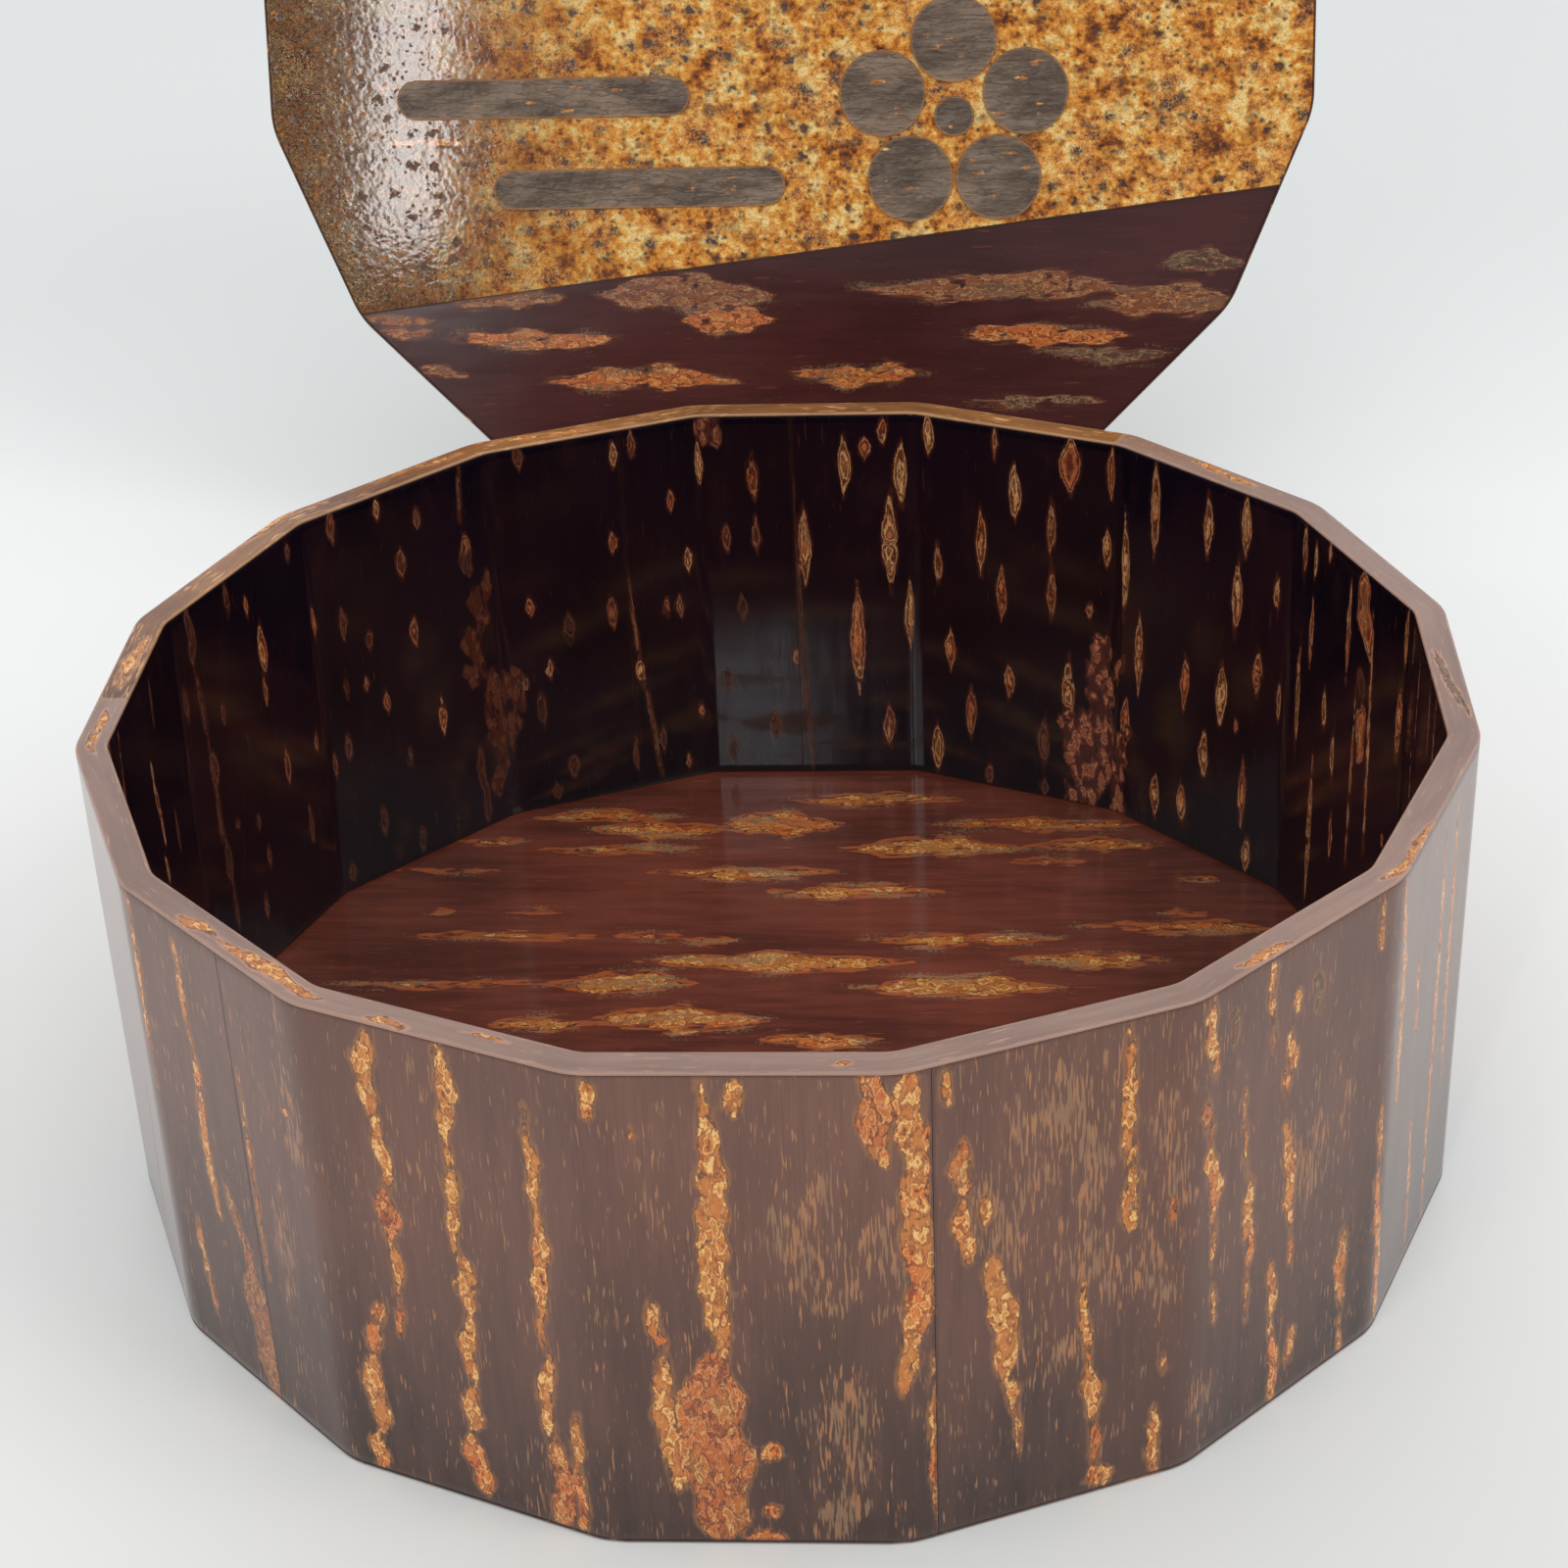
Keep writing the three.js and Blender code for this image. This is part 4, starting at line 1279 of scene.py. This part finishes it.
def random_chains(ring, start, end, top):
    """Upright chains of knots for a stretch of wall, from its top down."""
    knots = []
    across = start * side_length(ring)
    while across < end * side_length(ring):
        across += draw.uniform(0.4, 1.6) * CHAIN_SPACING
        along = top - draw.uniform(-20, 30)
        drift = draw.uniform(-0.05, 0.05)
        place = across
        while along > 0:
            length = draw.uniform(9, 42)
            width = draw.choice((1.4, 2.2, 2.8, 3.4, 4.4))
            lumps = round(length / draw.uniform(10, 16))
            tone = draw.choice((0.05, 0.15, 0.25, 0.4, 0.6))
            ends = (place, along), (place + drift * length, along - length)
            knots.append(Knot(*ends, width, lumps, tone, CHAIN_TAPER))
            place += drift * length + draw.uniform(-0.6, 0.6)
            along -= length + draw.choice((-1.0, 0.5, 6.0, 30.0))
    return knots


def random_almonds(ring, start, end, low, high, count):
    knots = []
    for _ in range(count):
        across = draw.uniform(start, end) * side_length(ring)
        along = draw.uniform(low, high)
        length = draw.uniform(6, 22)
        knots.append(upright_almond(across, along, length, draw.uniform(1.8, 3.2), draw.uniform(0.2, 0.9)))
    return knots


def random_streaks(reach, count, widest=6.0):
    knots = []
    for _ in range(count):
        x, y = draw.uniform(-reach, reach), draw.uniform(-reach, reach)
        length = draw.uniform(14, 60)
        width = draw.uniform(1.6, widest)
        ends = (y, x - length / 2), (y, x + length / 2)
        knots.append(Knot(*ends, width, 2, draw.choice((0.1, 0.2, 0.3, 0.5)), STREAK_TAPER))
    return knots


# Sheets round the box

LAYER_STEP = 40
SKIN = BARK + GLUE
WALL_SPAN = SKIN, BOX_HEIGHT - SKIN
INSIDE_SPAN = floor_high.z + GLUE, BOX_HEIGHT - SKIN
RIM_SPAN = BOX_HEIGHT - BARK, BOX_HEIGHT

# Places of the seams round the outline
OUTER_SEAMS = (1.104, 5.6, 10.192, 14.576)
INNER_SEAMS = (2.32, 8.56, 9.376, 12.88)
BOX_RIM_SEAMS = (7.04, 12.64)
SKIRT_SEAM = (11.36,)
SKIRT_LINING_SEAM = (6.4,)
LID_RIM_SEAM = (7.52,)

# Stretches of the outline that the photograph doesn't show, and the fields of dashes drawn there
UNSEEN_OUTSIDE = 4.5, 12.4
UNSEEN_INSIDE = 12.9, 19.3
UNSEEN_FIELDS = 14

# In front of this the photograph shows none of the floor
UNSEEN_FLOOR = -14


def wall_sheets(node, kind, materials, seams, section, knots, flecks, layer, crosswise=False):
    """A ring of sheets between seams, each with a material and a layer of its own."""
    for number, ((start, end), material) in enumerate(zip(stretches(seams), materials), 1):
        bark = Bark(f"{node}_{number}", kind, "box", material, layer + LAYER_STEP * number)
        swept_piece(bark, start, end, section, knots, flecks, crosswise)


outer_knots = [wall_chain(row, on_outside) for row in OUTER_CHAINS]
outer_knots += random_chains(BOX, *UNSEEN_OUTSIDE, BOX_HEIGHT)
outer_flecks = []
for x0, y0, x1, y1, strength in OUTER_FLECKS:
    (left, top), (right, bottom) = on_outside((x0, y0)), on_outside((x1, y1))
    outer_flecks.append(Fleck((left, bottom), (right, top), strength))
for _ in range(UNSEEN_FIELDS):
    across, along = draw.uniform(4.6, 12.2) * side_length(BOX), draw.uniform(10, 80)
    high = across + draw.uniform(14, 34), along + draw.uniform(18, 40)
    outer_flecks.append(Fleck((across, along), high, draw.uniform(0.5, 1)))

inner_knots = []
for x, y, length, width, tone in INNER_ALMONDS:
    inner_knots.append(upright_almond(*on_inside((x, y)), length, width, tone))
inner_knots += [wall_chain(row, on_inside) for row in INNER_CHAINS]
inner_knots += random_almonds(BOX, *UNSEEN_INSIDE, low=8, high=100, count=96)
for row in INNER_SCARS:
    inner_knots += wall_scar(row)

rim_knots = []
for x0, y0, x1, y1, width, tone in RIM_STREAKS:
    rim_knots.append(Knot(on_rim((x0, y0)), on_rim((x1, y1)), width, 2, tone, STREAK_TAPER))

wall_sheets(
    "outer_bark", "sheet", ["dark_bark"] * 4, OUTER_SEAMS,
    upright_section(0, BARK, *WALL_SPAN), outer_knots, outer_flecks, 0,
)
wall_sheets(
    "inner_bark", "sheet", ["inside_bark"] * 4, INNER_SEAMS,
    upright_section(WALL, WALL - BARK, *INSIDE_SPAN), inner_knots, [], 300,
)
wall_sheets(
    "box_rim_bark", "strip", ["golden_rim_bark", "mauve_rim_bark"], BOX_RIM_SEAMS,
    rim_section(*RIM_SPAN), rim_knots, [], 500, crosswise=True,
)

# The box's floor and underside

floor_knots = [plate_streak(row, on_floor, FLOOR_TAPER) for row in FLOOR_STREAKS]
floor_knots += [knot for knot in random_streaks(reach=120, count=60) if knot.start[0] < UNSEEN_FLOOR]
plate_piece(
    Bark("floor_bark", "sheet", "box", "floor_bark", 600),
    ring_outline(BOX, WALL - BARK + EASED_EDGE), floor_low.z, floor_high.z, floor_knots,
)
plate_piece(
    Bark("base_bark", "sheet", "box", "dark_bark", 640),
    ring_outline(BOX, EASED_EDGE), 0, BARK, random_streaks(reach=130, count=60), face_down=True,
)

# The lid's bark, in the lid's own frame

LINING_LOW = 41.8

# The seam on the lid's face: where it crosses the middle, how far it slants up to the right, and its width
SEAM_HEIGHT = -66.03
SEAM_SLANT = math.radians(7)
SEAM_GAP = 0.2
FACE_SPAN = LID_DEPTH - BARK, LID_DEPTH

swept_piece(
    Bark("skirt_bark", "sheet", "lid", "dark_bark", 700), *stretches(SKIRT_SEAM)[0],
    upright_section(0, BARK, SKIN, LID_DEPTH), random_chains(LID, 0, SIDES, LID_DEPTH),
)
swept_piece(
    Bark("skirt_lining_bark", "sheet", "lid", "inside_bark", 740), *stretches(SKIRT_LINING_SEAM)[0],
    upright_section(WALL, WALL - BARK, SKIN, LINING_LOW - GLUE),
    random_almonds(LID, 0, SIDES, low=0, high=42, count=110),
)
swept_piece(
    Bark("lid_rim_bark", "strip", "lid", "mauve_rim_bark", 780), *stretches(LID_RIM_SEAM)[0],
    [(inset, BARK - height) for inset, height in rim_section(0, BARK)], [], crosswise=True,
)
plate_piece(
    Bark("lid_lining_bark", "sheet", "lid", "inside_bark", 820),
    ring_outline(LID, WALL - BARK + EASED_EDGE), LINING_LOW, LINING_LOW + BARK,
    random_streaks(reach=130, count=70, widest=4.0), face_down=True,
)

# The lid's face: two fields, each set back from the seam between them
FIELDS = (
    ("lid_gold_bark", "gold_bark", 860, 1, LID_CRACKS, CRACK_TAPER),
    ("lid_red_bark", "red_bark", 900, -1, LID_BANDS, BAND_TAPER),
)
across_seam = Vector((-math.sin(SEAM_SLANT), math.cos(SEAM_SLANT)))
for node, material, layer, side, rows, taper in FIELDS:
    on_seam = Vector((0, SEAM_HEIGHT)) + across_seam * (side * (SEAM_GAP / 2 + EASED_EDGE))
    plate_piece(
        Bark(node, "field", "lid", material, layer),
        clipped(ring_outline(LID, SKIN + EASED_EDGE), on_seam, across_seam * -side), *FACE_SPAN,
        [plate_streak(row, on_lid, taper) for row in rows],
    )

# The blossom and the bars of mist laid on the lid's face

BLOSSOM_MIDDLE = Vector((0.318, -0.2)) * LID.apothem
BLOSSOM_RADIUS = 33.0
PETALS = 5
PETAL_GAP = 0.6
PETAL_RING = BLOSSOM_RADIUS * 0.63
PETAL_WIDTH = 2 * PETAL_RING * math.sin(math.pi / PETALS) - PETAL_GAP
HEART_WIDTH = BLOSSOM_RADIUS * 0.34
MIST_LENGTH = 82.0
MIST_WIDTH = 11.0
MIST_MIDDLE = Vector((-0.47, -0.152)) * LID.apothem
MIST_STEP = Vector((0.18, -0.173)) * LID.apothem
PAD_EDGE = 0.3
PAD_FOLDS = 0.22
PAD_LOW = LID_DEPTH + GLUE
PAD_AREA_FOR_A_FLECK = 90
PAD_LAYER = 940
PAD_LAYER_STEP = 20

pads = []
for petal in range(PETALS):
    middle = BLOSSOM_MIDDLE + direction(math.pi / 2 + petal * 2 * math.pi / PETALS) * PETAL_RING
    pads.append((f"petal_{petal + 1}", middle, PETAL_WIDTH, PETAL_WIDTH))
pads.append(("blossom_heart", BLOSSOM_MIDDLE, HEART_WIDTH, HEART_WIDTH))
for bar in range(2):
    pads.append((f"mist_bar_{bar + 1}", MIST_MIDDLE + MIST_STEP * bar, MIST_LENGTH, MIST_WIDTH))
for number, (node, middle, length, width) in enumerate(pads):
    pad_knots = []
    for _ in range(max(2, round(length * width / PAD_AREA_FOR_A_FLECK))):
        x = middle.x + draw.uniform(-0.45, 0.35) * length
        y = middle.y + draw.uniform(-0.4, 0.4) * width
        ends = (y, x), (y, x + draw.uniform(2, 6))
        pad_knots.append(Knot(*ends, draw.uniform(0.7, 1.3), 0, 0.0, PAD_FLECK_TAPER))
    outline = bar_outline(middle, length, width, PAD_EDGE)
    bark = Bark(node, "pad", "lid", "grey_bark", PAD_LAYER + PAD_LAYER_STEP * number)
    plate_piece(bark, outline, PAD_LOW, PAD_LOW + BARK, pad_knots, edge=PAD_EDGE, relief=PAD_FOLDS)

# Floor, lamps and world, in metres

STUDIO_REACH = 6.0
STUDIO_SIDES = 96
STUDIO_LEVEL = -0.0003
DAYLIGHT = 0.93
ROOM_LIGHT = 0.3
SKY = (0.97, 0.99, 1.0, 1.0)

# Soft lamps in front of the box: name, azimuth from the front towards the right and elevation in degrees,
# width and height in metres, power
SOFTBOXES = (
    ("tall_softbox", -14.6, 20.6, 0.065, 0.66, 2.1),
    ("narrow_softbox", -5.3, 27.3, 0.045, 0.17, 0.6),
    ("wide_softbox", -26, 30, 0.75, 0.30, 3.4),
    ("fill_softbox", 60, 45, 0.8, 0.8, 6.0),
)
LAMP_TARGET = Vector((0, 0.1, 0.08))
LAMP_DISTANCE = 2.0


def floor_material():
    """Plain pale paper: whitest round the box and a little greyer at the back, with painted shade that
    darkens it towards the camera, most on the right.
    """
    shader = Material("studio_floor", on_bark=False)
    x, y, _ = shader.split(shader.place)
    grain = shader.noise(40.0, 40.0, detail=3.0, deep=40.0)
    # Painted shade: the paper darker towards the camera, and more so on the right
    near = shader.blend(x.step(-0.25, 0.25), (243, 242, 239), (222, 222, 217))
    shader.colour = shader.blend(y.step(0.02, -0.24), (251, 252, 251), near)
    shader.lay(y.step(0.20, 0.60), (232, 234, 233))
    shader.lay(grain * 0.04, (225, 225, 222))
    return shader.finish(0.65, grain * 0.02)


def make_floor():
    angles = [2 * math.pi * side / STUDIO_SIDES for side in range(STUDIO_SIDES)]
    ring = [(STUDIO_REACH * math.cos(angle), STUDIO_REACH * math.sin(angle), 0) for angle in angles]
    mesh = bpy.data.meshes.new("studio_floor")
    mesh.from_pydata(ring, [], [tuple(range(STUDIO_SIDES))])
    mesh.materials.append(floor_material())
    floor = add_object("studio_floor", mesh)
    floor.location.z = STUDIO_LEVEL
    floor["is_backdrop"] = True


def make_softbox(name, azimuth, elevation, width, height, power):
    way = way_to(math.radians(azimuth), math.radians(elevation))
    data = bpy.data.lights.new(name, "AREA")
    data.shape = "RECTANGLE"
    data.size = width
    data.size_y = height
    data.energy = power
    lamp = add_object(name, data)
    lamp.location = LAMP_TARGET + way * LAMP_DISTANCE
    lamp.rotation_euler = way.to_track_quat("Z", "Y").to_euler()
    lamp.visible_camera = False


def make_world():
    """White light from all round, but for the darker room low down in front, behind the camera."""
    world = bpy.data.worlds.new("studio")
    world.use_nodes = True
    shader = Shader(world.node_tree)
    _, forward, up = shader.split(shader.add("ShaderNodeTexCoord", {}).outputs["Generated"])
    low_front = forward.step(-0.3, -0.8) * up.step(0.60, 0.50)
    feeds = {"Value": low_front, "To Min": DAYLIGHT, "To Max": ROOM_LIGHT}
    room = shader.value("ShaderNodeMapRange", feeds)
    seen = shader.value("ShaderNodeLightPath", {}, "Is Camera Ray")
    sky = shader.nodes["Background"]
    sky.inputs["Color"].default_value = SKY
    strength = shader.value("ShaderNodeMix", {0: seen, 2: room, 3: 1.0}, data_type="FLOAT")
    shader.feed(sky.inputs["Strength"], strength)
    bpy.context.scene.world = world


make_floor()
make_world()
for softbox in SOFTBOXES:
    make_softbox(*softbox)
bpy.context.scene.view_settings.view_transform = "Standard"

low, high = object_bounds()
